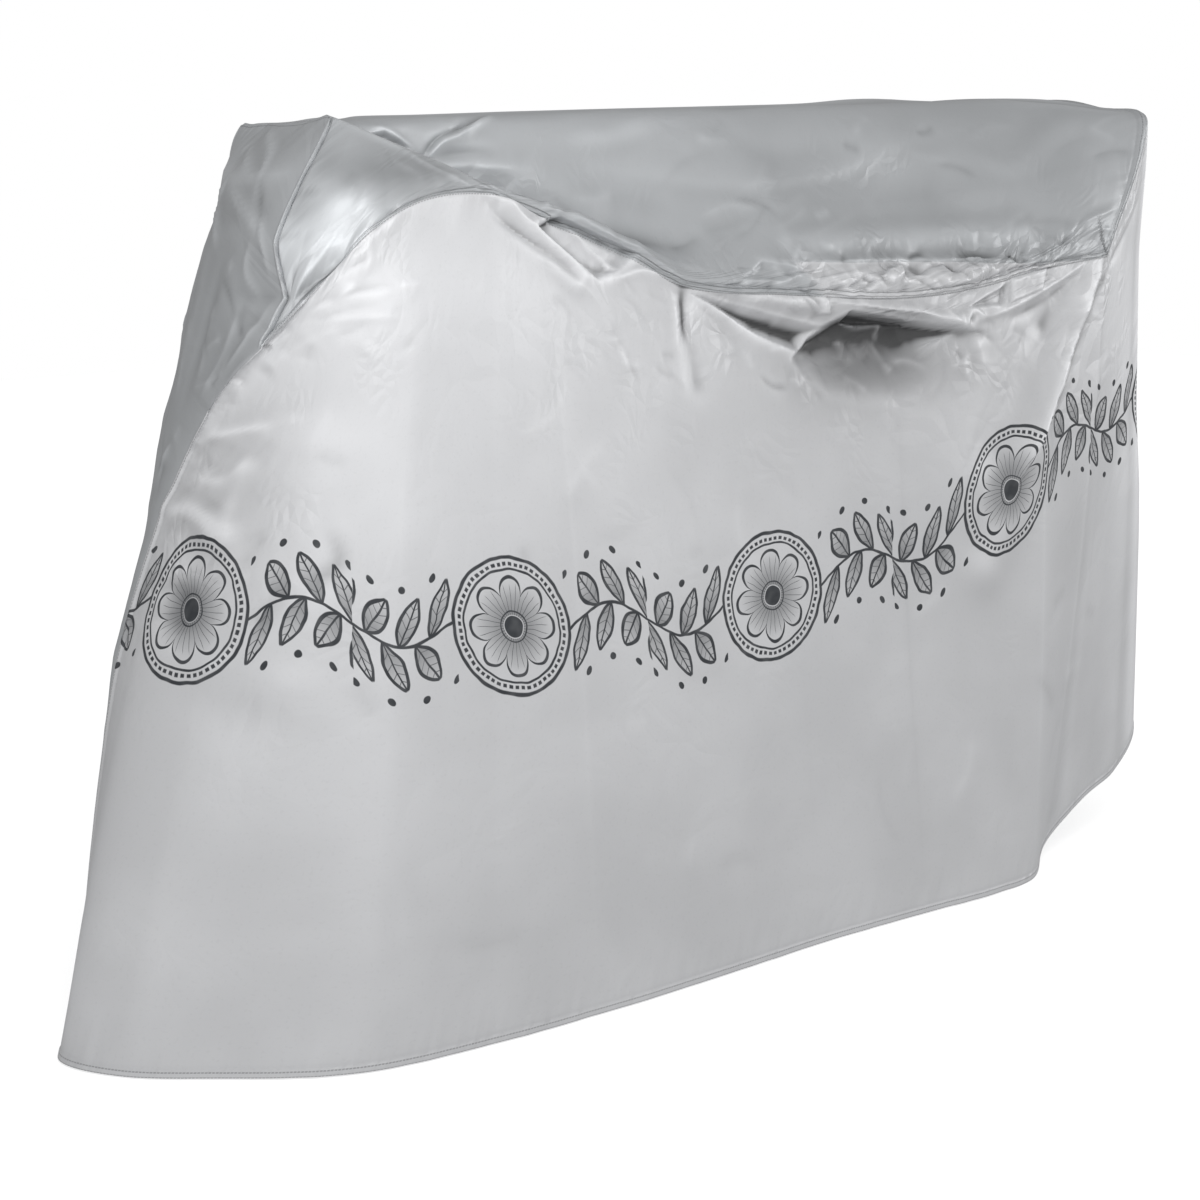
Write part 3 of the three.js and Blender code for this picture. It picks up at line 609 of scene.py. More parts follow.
def across_places():
    """Places across the top panel, closer together beside its two seams."""
    places = spans(CROSS_CELLS)
    last = len(CROSS_CELLS)
    places = np.where(places < 1, places ** SEAM_CROWDING, places)
    return np.where(places > last - 1, last - (last - places).clip(0) ** SEAM_CROWDING, places)


def cross_lines():
    """The eleven lines that the top panel's cells cross, from the near seam to the far seam."""
    near = [SIDE_TOPS, TOP_SWELLS, TOP_CREASES, TOP_DIPS, TOP_CROWNS, TOP_MIDDLES]
    places = row_places()
    near = [smooth_line(line, places) for line in near]
    return np.array(near + [to_far(line) for line in near[-2::-1]])


def make_top(lines):
    return np.swapaxes(smooth_line(lines, across_places()), 0, 1)


def side_shares():
    """Shares of a side panel's height at its lines of cells, from the hem up."""
    down = [0.0]
    while down[-1] < 1000:
        down.append(down[-1] + next(size for reach, size in SIDE_SPACING if down[-1] < reach))
    down = np.array(down) / down[-1]
    return 1 - down[::-1]


def nose_line(shares):
    """Points of the nose seam at shares of its length."""
    dense = smooth_line(NOSE_SEAM, np.linspace(0, len(NOSE_SEAM) - 1, 400))
    lengths = np.concatenate([[0], np.cumsum(np.linalg.norm(np.diff(dense, axis=0), axis=1))])
    return np.stack([np.interp(shares, lengths / lengths[-1], dense[:, axis]) for axis in range(3)], 1)


def make_side(lines):
    """A side panel before its folds: straight from hem to top, bellied out, and bent at the nose."""
    rows = row_places(TAIL_CELLS)
    tail = smooth_line(lines[:6, -1], spans(TAIL_CELLS))
    tops = np.concatenate([lines[0], tail[1:]])
    hems = smooth_line(SIDE_HEMS, rows)
    bellies = np.interp(rows, np.arange(len(SIDE_BELLIES)), SIDE_BELLIES)
    shares = side_shares()
    bend = nose_line(shares) - (hems[0] + (tops[0] - hems[0]) * shares[:, None])
    fade = np.maximum(0, 1 - rows / NOSE_BEND_ROWS) ** 2
    grid = hems[:, None] + (tops - hems)[:, None] * shares[None, :, None]
    grid = grid + bend[None] * fade[:, None, None]
    grid[..., 1] -= bellies[:, None] * np.sin(math.pi * shares)[None]
    grid[:, -1] = tops
    return grid


def sideways_shares():
    """Places across the front panel from -1 to 1, closer together beside its two seams."""
    even = np.linspace(-1, 1, FRONT_CELLS + 1) * math.pi / 2 * FRONT_CROWDING
    return np.sin(even) / np.sin(even[-1])


def bar_places():
    """Places on the top panel's lines where the front panel's rows meet the front bar."""
    return len(CROSS_CELLS) / 2 - (len(CROSS_CELLS) / 2 - 2) * sideways_shares()


def make_front(lines, side):
    """The front panel, its lines running from the far seam to the near seam, each from the hem up."""
    lip_places = across_places()[1:sum(CROSS_CELLS[:2]) + 1]
    lip = smooth_line(lines[:, 0], lip_places)
    near = np.concatenate([side[0], lip])
    away = to_far(near)
    sideways = sideways_shares()[:, None, None]
    middle = np.stack([read_at(FRONT_MIDDLE, near[:, 2]), 0 * near[:, 2], near[:, 2]], 1)[None]
    half = (near - away)[None] / 2
    bar = smooth_line(lines[:, 0], bar_places())
    sag = (near + away)[None] / 2 - middle
    grid = middle + half * sideways + sag * sideways ** 2
    lift = bar - grid[:, -1]
    climb = np.concatenate([0.8 * (1 - (1 - side_shares()) ** (2 / 3)), 0.8 + 0.1 * lip_places])
    fade = np.maximum(0, 1 - (1 - climb) / FRONT_LIFT) ** 2
    grid = grid + lift[:, None] * fade[None, :, None]
    grid[0] = away
    grid[-1] = near
    return grid


def grid_normals(grid):
    along = np.gradient(grid, axis=0)
    across = np.gradient(grid, axis=1)
    normals = np.cross(along, across)
    return normals / np.maximum(np.linalg.norm(normals, axis=-1, keepdims=True), 1e-9)


def near_path(places, path, outward):
    """The gap from each place to a path, its side (1 is left, seen from outside), and how far along."""
    gaps = np.full(len(places), np.inf)
    lefts = np.zeros(len(places))
    alongs = np.zeros(len(places))
    walked = 0.0
    for start, end in zip(path[:-1], path[1:]):
        run = end - start
        length = np.linalg.norm(run)
        share = np.clip((places - start) @ run / length ** 2, 0, 1)
        off = places - start - share[:, None] * run
        gap = np.linalg.norm(off, axis=1)
        nearer = gap < gaps
        gaps[nearer] = gap[nearer]
        lefts[nearer] = np.sign(off[nearer] @ np.cross(outward, run))
        alongs[nearer] = walked + share[nearer] * length
        walked += length
    return gaps, lefts, alongs, walked


def wobble(places, spacing, seed):
    """Smooth seeded ups and downs between -1 and 1 along a length."""
    values = np.random.default_rng(seed).uniform(-1, 1, 512)
    steps = np.asarray(places) / spacing
    low = np.floor(steps).astype(int)
    share = smoothstep(steps - low, 0, 1)
    return values[low % 512] * (1 - share) + values[(low + 1) % 512] * share


def crease_heights(grid, creases, weights, outward):
    """Total height of creases at a grid's points; each is uneven and dies away at its ends."""
    places = grid.reshape(-1, 3) * weights
    heights = np.zeros(len(places))
    for number, (_, height, width, crest, lean, path) in enumerate(creases):
        path = np.array(path, float) * weights
        path = smooth_line(path, np.linspace(0, len(path) - 1, 4 * len(path) - 3))
        reach = 4.5 * width
        close = np.all((places > path.min(0) - reach) & (places < path.max(0) + reach), axis=1)
        if not close.any():
            continue
        gap, left, along, length = near_path(places[close], path, outward)
        across = gap / (width * (1 + lean * left))
        fade = smoothstep(along, -0.1 * length, 0.3 * length)
        fade = fade * smoothstep(length - along, -0.1 * length, 0.3 * length)
        uneven = 1 + 0.3 * wobble(along, 4 * width, number)
        heights[close] += height * uneven * fade * np.exp(-(across ** crest))
    return heights.reshape(grid.shape[:2])


def main_fold_heights(grid, folds):
    """The solid's own folds, each fading across its width and beyond its ends."""
    heights = np.zeros(grid.shape[:2])
    for _, height, width, start, end in folds:
        run = np.subtract(end, start)
        length = math.hypot(*run)
        off = grid[..., ::2] - np.array(start)
        along = off @ run / length
        beside = (off[..., 0] * run[1] - off[..., 1] * run[0]) / length
        beyond = np.maximum(0, np.maximum(-along, along - length))
        heights += height * np.exp(-((beside / width) ** 2) - (beyond / width) ** 2)
    return np.where(grid[..., 1] > 0, 0, heights)


def facet_heights(grid, facets):
    """The deepest dent plus the highest raised face at a near panel's points, all with straight sides."""
    dents = np.zeros(grid.shape[:2])
    raised = np.zeros(grid.shape[:2])
    for _, height, rim, corners in facets:
        share = np.ones(grid.shape[:2])
        for (x, z, slope), (next_x, next_z, _) in zip(corners, corners[1:] + corners[:1]):
            run_x, run_z = next_x - x, next_z - z
            inward = (grid[..., 2] - z) * run_x - (grid[..., 0] - x) * run_z
            share = np.minimum(share, inward / math.hypot(run_x, run_z) / slope)
        share = smoothstep(share, 0, 1) if rim == "soft" else 1 - (1 - share.clip(0)) ** 2
        dents = np.minimum(dents, height * share)
        raised = np.maximum(raised, height * share)
    return np.where(grid[..., 1] < -90, dents + raised, 0)


def scattered(grid, spread):
    """Short random creases that start at a grid's points inside a range and run along the cloth."""
    _, x_range, z_range, count, lengths, heights, widths, headings, seed = spread
    rng = np.random.default_rng(seed)
    low_x, high_x = x_range
    low_z, high_z = z_range
    inside = (grid[..., 0] > low_x) & (grid[..., 0] < high_x)
    inside &= (grid[..., 2] > low_z) & (grid[..., 2] < high_z)
    if spread[0] == "top_cloth":
        inside &= grid[..., 1] < 0
    rows, columns = np.nonzero(inside[:-1, :-1])
    creases = []
    for _ in range(count):
        pick = rng.integers(len(rows))
        i, j = rows[pick], columns[pick]
        start = grid[i, j]
        along = (grid[i + 1, j] - start) / np.linalg.norm(grid[i + 1, j] - start)
        up = (grid[i, j + 1] - start) / np.linalg.norm(grid[i, j + 1] - start)
        heading = math.radians(rng.uniform(*headings))
        forward = along * math.cos(heading) + up * math.sin(heading)
        aside = up * math.cos(heading) - along * math.sin(heading)
        length = rng.uniform(*lengths)
        middle = start + forward * length / 2 + aside * length * rng.uniform(-0.15, 0.15)
        height = rng.uniform(*heights) * rng.choice([-1, 1])
        path = [start, middle, start + forward * length]
        creases.append(("scattered", height, rng.uniform(*widths), rng.uniform(1.0, 1.5), 0, path))
    return creases


def all_scattered(name, grid):
    """Every short random crease of one panel."""
    return [crease for spread in SCATTERS if spread[0] == name for crease in scattered(grid, spread)]


def edge_gaps(grid):
    """Distances along the cloth from a grid's first and last row, and its first and last line."""
    along = np.linalg.norm(np.diff(grid, axis=0), axis=-1)
    across = np.linalg.norm(np.diff(grid, axis=1), axis=-1)
    along = np.concatenate([np.zeros((1, grid.shape[1])), np.cumsum(along, axis=0)])
    across = np.concatenate([np.zeros((grid.shape[0], 1)), np.cumsum(across, axis=1)], axis=1)
    return along, along[-1:] - along, across, across[:, -1:] - across


def drawn_in(gap, run, slant, seed):
    """Puckers beside stitches: fine ones close to them, and broad ones that reach further out."""
    fine = 0.6 * wobble(run + 0.3 * gap, 12, seed) * np.exp(-gap / 16)
    broad = wobble(run + slant * gap, 30, seed + 1) * np.exp(-gap / 42)
    return (fine + broad) * smoothstep(gap, -4, 10)


def stitched_band(gap, run, width, height, pucker, seed):
    """A folded, stitched edge: a raised band with a groove beside it, drawn in along its stitches."""
    raised = height * np.exp(-(np.abs(gap / width - 0.5) * 2) ** 4)
    groove = -0.6 * height * np.exp(-((gap - width - 2) / 2.2) ** 2)
    return raised + groove + pucker * drawn_in(gap, run, -0.5, seed)


def under_band(gap, run, depth, pucker, seed):
    """Cloth beside a seam's raised band: a step down, and the band's puckers going on."""
    return pucker * drawn_in(gap, run, 0.5, seed) - depth * np.exp(-gap / 3)


def turned_hem(gap, run, seed):
    """A turned and stitched hem, a little thicker and gently waved."""
    raised = 1.0 * (1 - smoothstep(gap, 7, 9)) - 0.8 * np.exp(-((gap - 10) / 2) ** 2)
    fine = 0.5 * wobble(run, 22, seed) * np.exp(-gap / 18)
    broad = 2.0 * wobble(run, 95, seed) * np.exp(-gap / 90)
    return raised + fine + broad


def seam_shown(edge):
    """1 where the near seam shows, and 0 where the pleat's crest and the roll hide it."""
    return 1 - smoothstep(edge[..., 0], -290, -240) * (1 - smoothstep(edge[..., 0], 180, 215))


def slit_share(grid):
    """1 beside the middle of the near slit, and 0 beyond its ends."""
    return np.where(grid[..., 1] < 0, np.exp(-((grid[..., 2] - SLIT_MIDDLE) / SLIT_HALF) ** 4), 0)


def lip_drop(grid):
    """How far the shoulder's cloth lies below the front panel's rim, deepest in the slit."""
    return -LIP_STEP - SLIT_DEPTH * slit_share(grid)


def lip_share():
    """1 across the top panel where it meets the front panel's lips, and 0 on the front bar."""
    return smoothstep(np.abs(across_places() - len(CROSS_CELLS) / 2), 2.6, 3)


def top_heights(grid):
    first, last, near, far = edge_gaps(grid)
    heights = main_fold_heights(grid, TOP_MAIN_FOLDS) + facet_heights(grid, NEAR_FACETS)
    creases = NEAR_CREASES + all_scattered("top_cloth", grid)
    heights += np.where(grid[..., 1] < 0, crease_heights(grid, creases, SIDEWAYS, (0, -1, 0)), 0)
    heights += np.where(grid[..., 1] > 0, crease_heights(grid, FAR_CREASES, SIDEWAYS, (0, 1, 0)), 0)
    heights += crease_heights(grid, CROWN_CREASES, UPWARDS, (0, 0, 1))
    heights *= smoothstep(first, -8, 14) * smoothstep(last, 0, 30)
    seams = stitched_band(near, first, SEAM_BAND, 1.4, 1.2, 21) * seam_shown(grid[:, :1])
    seams += stitched_band(far, first, SEAM_BAND, 1.4, 1.2, 25)
    heights += seams * smoothstep(last, 0, 25)
    heights += stitched_band(last, near, TAIL_BAND, 1.8, 1.3, 31) * smoothstep(last, 0, 3)
    from_seam = smoothstep(np.minimum(near, far), 0, 12)
    return heights + lip_drop(grid) * np.exp(-first / 3.5) * from_seam * lip_share()


def side_heights(grid, creases, main, name):
    first, last, hem, top = edge_gaps(grid)
    heights = main_fold_heights(grid, main)
    if name == "near_side":
        heights += facet_heights(grid, NEAR_FACETS)
    outward = (0, -1 if name == "near_side" else 1, 0)
    creases = creases + all_scattered(name, grid)
    heights += crease_heights(grid, creases, SIDEWAYS, outward)
    seam_run = first[:, -1:] if name == "near_side" else last[:, -1:]
    corner_run = seam_run[sum(ROW_CELLS) if name == "near_side" else sum(TAIL_CELLS)]
    from_corner = np.maximum(smoothstep(corner_run - seam_run, 0, 30), smoothstep(top, 0, 30))
    heights *= from_corner
    far_edge, nose_edge = (first, last) if name == "far_side" else (last, first)
    heights *= smoothstep(far_edge, 0, 40)
    puckers = under_band(top, first, 0.9, 1.2, 21 if name == "near_side" else 25) * from_corner
    heights += puckers * (seam_shown(grid[:, -1:]) if name == "near_side" else 1)
    heights += turned_hem(hem, first, 41) * smoothstep(far_edge, 0, 60)
    heights += stitched_band(nose_edge, hem, NOSE_BAND, 1.4, 0.35, 45)
    heights += 0.6 * wobble(nose_edge, 9, 46) * np.exp(-nose_edge / 30) * smoothstep(nose_edge, 0, 6)
    heights += 1.6 * np.exp(-((far_edge - 5) / 3.5) ** 2)
    return heights


def front_heights(grid, side_lines):
    first, last, hem, top = edge_gaps(grid)
    creases = FRONT_CREASES + all_scattered("front_gore", grid)
    heights = crease_heights(grid, creases, FORWARDS, (-1, 0, 0))
    heights *= smoothstep(top, 0, 20)
    heights += turned_hem(hem, first, 43)
    heights += under_band(first, hem, 0.8, 0.5, 45)
    heights += under_band(last, hem, 0.8, 0.5, 45)
    lines = np.arange(grid.shape[1])
    lip = smoothstep(lines, side_lines - 4, side_lines + 6) * smoothstep(grid.shape[1] - lines, 0, 8)
    for gap in (first, last):
        heights += lip * (lip_drop(grid) * np.exp(-gap / 0.8) + 1.7 * np.exp(-((gap - 2.2) / 1.4) ** 2))
    return heights


def sew(first, second):
    """Two edges that share a seam are laid on each other, half way between."""
    middle = (first + second) / 2
    first[...] = middle
    second[...] = middle


def on_first_row(top, places):
    """Points of the top panel's first row at the given places across it."""
    return np.stack([np.interp(places, across_places(), top[0, :, axis]) for axis in range(3)], 1)


def bend_lip(grid, from_lip, from_seam):
    """The lip of the top panel juts out in a corner above the slit, and the cloth beside it follows."""
    off = grid[..., 2] - LIP_CORNER
    reach = np.where(off > 0, LIP_ABOVE, LIP_BELOW)
    push = LIP_JUT * np.clip(1 - np.abs(off) / reach, 0, 1)
    push = push * (1 - smoothstep(from_lip, 0, LIP_FADE)) * smoothstep(from_seam, 0, 20)
    return np.where(grid[..., 1] < -100, push, 0)[..., None] * np.array(LIP_WAY)


def sink_corners(grid):
    down = np.zeros(grid.shape[:2])
    for place, depth, reach in SINKS:
        down += depth * np.exp(-(np.linalg.norm(grid - place, axis=-1) / reach) ** 2)
    return grid - down[..., None] * np.array([0, 0, 1])


def make_grids():
    """The four panels' names, their grids when folded and sewn together, and their plain grids."""
    lines = cross_lines()
    top = make_top(lines)
    near = make_side(lines)
    far = to_far(near)[::-1]
    front = make_front(lines, near)
    heights = [
        side_heights(near, NEAR_CREASES, MAIN_FOLDS, "near_side"),
        side_heights(far, FAR_CREASES, [], "far_side"),
        front_heights(front, near.shape[1]),
        top_heights(top),
    ]
    plain = [near, far, front, top]
    moved = [grid + grid_normals(grid) * height[..., None] for grid, height in zip(plain, heights)]
    near, far, front, top = [sink_corners(grid) for grid in moved]
    first, _, from_seam, _ = edge_gaps(top)
    top = top + bend_lip(top, first, from_seam)
    _, last, up, _ = edge_gaps(front)
    front = front + bend_lip(front, last, up - up[-1, near.shape[1] - 1])
    rows, side_lines = len(top), near.shape[1]
    sew(near[:rows, -1], top[:, 0])
    sew(far[::-1][:rows, -1], top[:, -1])
    sew(near[-1], far[0])
    near_lip = front[-1, side_lines - 1:]
    sew(near[0], front[-1, :side_lines])
    sew(far[-1], front[0, :side_lines])
    sew(near_lip, top[0, :len(near_lip)])
    front[0, side_lines - 1:] = on_first_row(top, len(CROSS_CELLS) - across_places()[:len(near_lip)])
    front[:, -1] = on_first_row(top, bar_places())
    return zip(PANELS, (near, far, front, top), plain)


def patch_share(grid, x, height, half_length, half_height):
    """1 in the middle of a patch, fading to 0 round it."""
    off = ((grid[..., 0] - x) / half_length) ** 2 + ((grid[..., 2] - height) / half_height) ** 2
    return np.exp(-off)


def crumple_levels(name, grid):
    """How finely crumpled the film is at each point of a panel."""
    levels = np.full(grid.shape[:2], CRUMPLE_BASE)
    for panel, *patch, level in CRUMPLES:
        if panel == name:
            levels += level * patch_share(grid, *patch)
    return levels


def painted_light_and_shade_levels(name, grid):
    """The film's painted light and shade: painted highlights on its creases, painted shade in its folds,
    hollows, lip line and slit, and painted patches.
    """
    out = []
    smooth = grid
    for rounds in SMOOTHINGS:
        for _ in range(rounds):
            edge = np.pad(smooth, ((1, 1), (1, 1), (0, 0)), mode="edge")
            smooth = (edge[:-2, 1:-1] + edge[2:, 1:-1] + edge[1:-1, :-2] + edge[1:-1, 2:]) / 4
        out.append(np.einsum("ijk,ijk->ij", grid - smooth, grid_normals(grid)))
    first, last, low, _ = edge_gaps(grid)
    free = last if name == "top_cloth" else np.minimum(np.minimum(first, last), low)
    crease, fold, hollow = out * smoothstep(free, 0, 40)
    # Painted highlights on crease crests, and painted shade in crease troughs, folds and hollows.
    level = 1 + CREASE_LIGHT_AND_SHADE * np.clip(crease / SHARP_CREASE, -1, 1)
    level -= FOLD_SHADE * smoothstep(-fold, *FOLD_DEPTHS) + HOLLOW_SHADE * smoothstep(-hollow, *HOLLOW_DEPTHS)
    if name == "top_cloth":
        # Painted shade in the line beside the lip and in the slit.
        level -= LIP_SHADE * (1 - smoothstep(first, 0.5, 2.5)) * lip_share()
        level -= SLIT_SHADE * slit_share(grid) * (1 - smoothstep(first, 3, 7))
    # Painted patches of light and shade.
    for panel, *patch, change in LIGHT_AND_SHADE_PATCHES:
        if panel == name:
            level += np.where(grid[..., 1] < 60, change * patch_share(grid, *patch), 0)
    return level.clip(DARKEST)


def band_light_share(grid):
    """1 on the crumpled band, which lies between the near seam and its border and is painted light in the
    sides' lighter silver.
    """
    border = read_at(LIT_BAND_BORDER, grid[..., 0])
    low = smoothstep(border - grid[..., 2], -2, 2)
    ends = smoothstep(grid[..., 0] + 0.8 * (grid[..., 2] - 850), 130, 215)
    return np.where(grid[..., 1] < -180, low * ends, 0)


def stitch_places(name, grid):
    """Each point's way along the nearest sewn edge and its distance from it, both in millimetres."""
    first, last, hem, top = edge_gaps(grid)
    if name == "top_cloth":
        edges = [(hem, first), (top, first), (last, hem), (first + 4, hem)]
    elif name == "front_gore":
        edges = [(hem + 2.7, first), (top + 4, first)]
    else:
        edges = [(hem + 2.7, first), (first + 4, hem), (last + 4, hem), (top + 8, first)]
    gaps = np.array([gap for gap, _ in edges])
    runs = np.array([run for _, run in edges])
    nearest = gaps.argmin(axis=0)[None]
    return np.take_along_axis(runs, nearest, 0)[0], np.take_along_axis(gaps, nearest, 0)[0]


def print_places(grid):
    """The side panel's printing coordinates in metres: along the print, and up from its base line."""
    near = grid if grid[len(grid) // 2, 0, 1] < 0 else grid[::-1]
    level = [[np.interp(PRINT_LEVEL, line[:, 2], line[:, axis]) for axis in (0, 1)] for line in near]
    level = np.array(level)
    lengths = np.concatenate([[0], np.cumsum(np.linalg.norm(np.diff(level, axis=0), axis=1))])
    forward = np.gradient(level, axis=0)
    forward /= np.linalg.norm(forward, axis=1, keepdims=True)
    aside = np.einsum("ijk,ik->ij", near[..., :2] - level[:, None], forward)
    along = lengths[:, None] + aside
    up = near[..., 2] - read_at(PRINT_BASE, near[..., 0])
    places = np.stack([along, up], -1) * MM
    return places if near is grid else places[::-1]


def sheet_object(name, grid, material, maps, levels):
    """The film as one sheet on a grid, in metres, with its flat maps as UVs and its point levels."""
    rows, columns = grid.shape[:2]
    points = grid.reshape(-1, 3) - (0, 0, SUPPORT_HEIGHT)
    index = np.arange(rows * columns).reshape(rows, columns)
    corners = [index[:-1, :-1], index[1:, :-1], index[1:, 1:], index[:-1, 1:]]
    quads = np.stack(corners, -1).reshape(-1, 4)
    mesh = bpy.data.meshes.new(name)
    mesh.vertices.add(len(points))
    mesh.vertices.foreach_set("co", (points * MM).astype(np.float32).ravel())
    mesh.loops.add(quads.size)
    mesh.loops.foreach_set("vertex_index", quads.astype(np.int32).ravel())
    mesh.polygons.add(len(quads))
    mesh.polygons.foreach_set("loop_start", np.arange(0, quads.size, 4, dtype=np.int32))
    mesh.polygons.foreach_set("use_smooth", np.ones(len(quads), bool))
    mesh.update(calc_edges=True)
    for title, places in maps.items():
        layer = mesh.uv_layers.new(name=title)
        layer.data.foreach_set("uv", places.reshape(-1, 2)[quads.ravel()].astype(np.float32).ravel())
    for title, values in levels.items():
        stored = mesh.attributes.new(title, "FLOAT", "POINT")
        stored.data.foreach_set("value", values.ravel().astype(np.float32))
    mesh.materials.append(material)
    mesh.validate()
    return put_in_scene(name, mesh)


class Graph:
    """Short calls for wiring up the nodes of one material."""

    def __init__(self, name):
        self.material = bpy.data.materials.new(name)
        self.material.use_nodes = True
        self.tree = self.material.node_tree
        self.shader = self.tree.nodes["Principled BSDF"]

    def node(self, kind, inputs=None, **settings):
        made = self.tree.nodes.new(kind)
        for key, value in settings.items():
            setattr(made, key, value)
        for key, value in (inputs or {}).items():
            self.feed(value, made.inputs[key])
        return made

    def feed(self, value, socket):
        if isinstance(value, bpy.types.NodeSocket):
            self.tree.links.new(value, socket)
        else:
            socket.default_value = value

    def math(self, operation, a, b=0.0, c=0.0):
        return self.node("ShaderNodeMath", {0: a, 1: b, 2: c}, operation=operation).outputs[0]

    def chain(self, operation, values):
        result = values[0]
        for value in values[1:]:
            result = self.math(operation, result, value)
        return result

    def total(self, *values):
        return self.chain("ADD", values)

    def times(self, *values):
        return self.chain("MULTIPLY", values)

    def most(self, *values):
        return self.chain("MAXIMUM", values)

    def minus(self, a, b):
        return self.math("SUBTRACT", a, b)

    def absolute(self, value):
        return self.math("ABSOLUTE", value)

    def radius(self, x, y):
        return self.math("SQRT", self.total(self.times(x, x), self.times(y, y)))

    def ramp(self, value, low, high):
        """0 below one value, 1 above another, smooth between; also downwards when low is the higher."""
        inputs = {"Value": value, "From Min": low, "From Max": high}
        made = self.node("ShaderNodeMapRange", inputs, interpolation_type="SMOOTHSTEP")
        return made.outputs[0]

    def stripe(self, value, centre, half):
        """1 within half a width of a centre, with soft edges."""
        away = self.absolute(self.minus(value, centre))
        return self.ramp(away, half * 1.3, half * 0.7)

    def noise_node(self, place, scale, detail):
        inputs = {"Vector": place, "Scale": scale, "Detail": detail}
        return self.node("ShaderNodeTexNoise", inputs, noise_dimensions="2D")

    def noise(self, place, scale, detail=2.0):
        return self.noise_node(place, scale, detail).outputs[0]

    def scaled(self, vector, share):
        return self.node("ShaderNodeVectorMath", {0: vector, "Scale": share}, operation="SCALE").outputs[0]

    def warped(self, place, scale, reach):
        """A flat place pushed about by noise, by up to about half a reach."""
        push = self.scaled(self.noise_node(place, scale, 1.0).outputs["Color"], reach)
        return self.node("ShaderNodeVectorMath", {0: place, 1: push}, operation="ADD").outputs[0]

    def attribute(self, name):
        return self.node("ShaderNodeAttribute", attribute_name=name).outputs["Fac"]

    def blend(self, share, first, second):
        made = self.node("ShaderNodeMix", data_type="RGBA")
        for socket, value in ((made.inputs[0], share), (made.inputs[6], first), (made.inputs[7], second)):
            self.feed(value, socket)
        return made.outputs[2]


def crumple_height(g, place):
    """Height in metres of the film's fine crumpling: bent facets at two sizes, dents and grain."""
    bent = g.warped(place, 9.0, 0.09)
    facets = []
    for scale, height in BENT_FACETS:
        inputs = {"Vector": bent, "Scale": scale}
        settings = {"feature": "DISTANCE_TO_EDGE", "voronoi_dimensions": "2D"}
        cells = g.node("ShaderNodeTexVoronoi", inputs, **settings)
        patches = g.ramp(g.noise(place, scale * 0.3, 1.0), 0.42, 0.72)
        facets.append(g.times(cells.outputs["Distance"], patches, height))
    dents = g.times(g.noise(place, 26.0, 2.0), 0.0009)
    lively = g.times(g.total(*facets, dents), g.attribute("crumple"))
    grain = g.times(g.noise(place, 900.0, 0.0), 0.00002)
    return g.total(lively, grain, gather_height(g))


def gather_height(g):
    """Fine puckers in metres that run out square from a sewn edge and die away."""
    run = g.attribute("run")
    gap = g.attribute("gap")
    drawn = g.node("ShaderNodeCombineXYZ", {0: run, 1: g.times(gap, 0.16)}).outputs[0]
    fine = g.times(g.noise(drawn, 120.0, 1.0), g.ramp(gap, 0.035, 0.0), 0.0011)
    broad = g.times(g.noise(drawn, 42.0, 1.0), g.ramp(gap, 0.085, 0.01), 0.0022)
    return g.total(fine, broad)


def stitches(g):
    """1 on the thread of the stitched lines that follow a panel's edges."""
    run = g.attribute("run")
    gap = g.attribute("gap")
    on = g.ramp(g.math("PINGPONG", g.math("DIVIDE", run, STITCH_STEP), 0.5), 0.12, 0.2)
    lines = [g.stripe(gap, centre, 0.0007) for centre in STITCH_LINES]
    return g.times(g.most(*lines), on)


def inked(g, depth):
    """The inside and the outline of a drawn shape, from the depth inside its edge."""
    inside = g.ramp(depth, -FILL_BLUR, FILL_BLUR)
    return inside, g.ramp(g.absolute(depth), OUTLINE_HALF + INK_BLUR, OUTLINE_HALF - INK_BLUR)


def leaf(g, x, y):
    """A pointed leaf from its root: an outline, a midrib, slanting veins and a fill that fades."""
    turn = math.radians(LEAF_TURN)
    along = g.total(g.times(x, math.cos(turn)), g.times(y, math.sin(turn)))
    aside = g.minus(g.times(y, math.cos(turn)), g.times(x, math.sin(turn)))
    aside = g.absolute(aside)
    share = g.minus(g.times(along, 2 / LEAF_LENGTH), 1)
    edge = g.times(g.minus(1, g.times(share, share)), LEAF_HALF)
    depth = g.minus(edge, aside)
    inside, outline = inked(g, depth)
    rib = g.times(g.ramp(aside, 0.0014, 0.0008), inside)
    slant = g.math("PINGPONG", g.total(g.times(along, 90), g.times(aside, -70)), 0.5)
    veins = g.times(g.ramp(slant, 0.10, 0.04), inside, 0.8)
    fill = g.times(inside, g.total(0.16, g.times(g.ramp(along, LEAF_LENGTH, 0), 0.45)))
    within = g.times(g.ramp(along, -0.001, 0.001), g.ramp(along, LEAF_LENGTH + 0.001, LEAF_LENGTH - 0.001))
    return g.times(g.most(outline, rib, veins, fill), within)


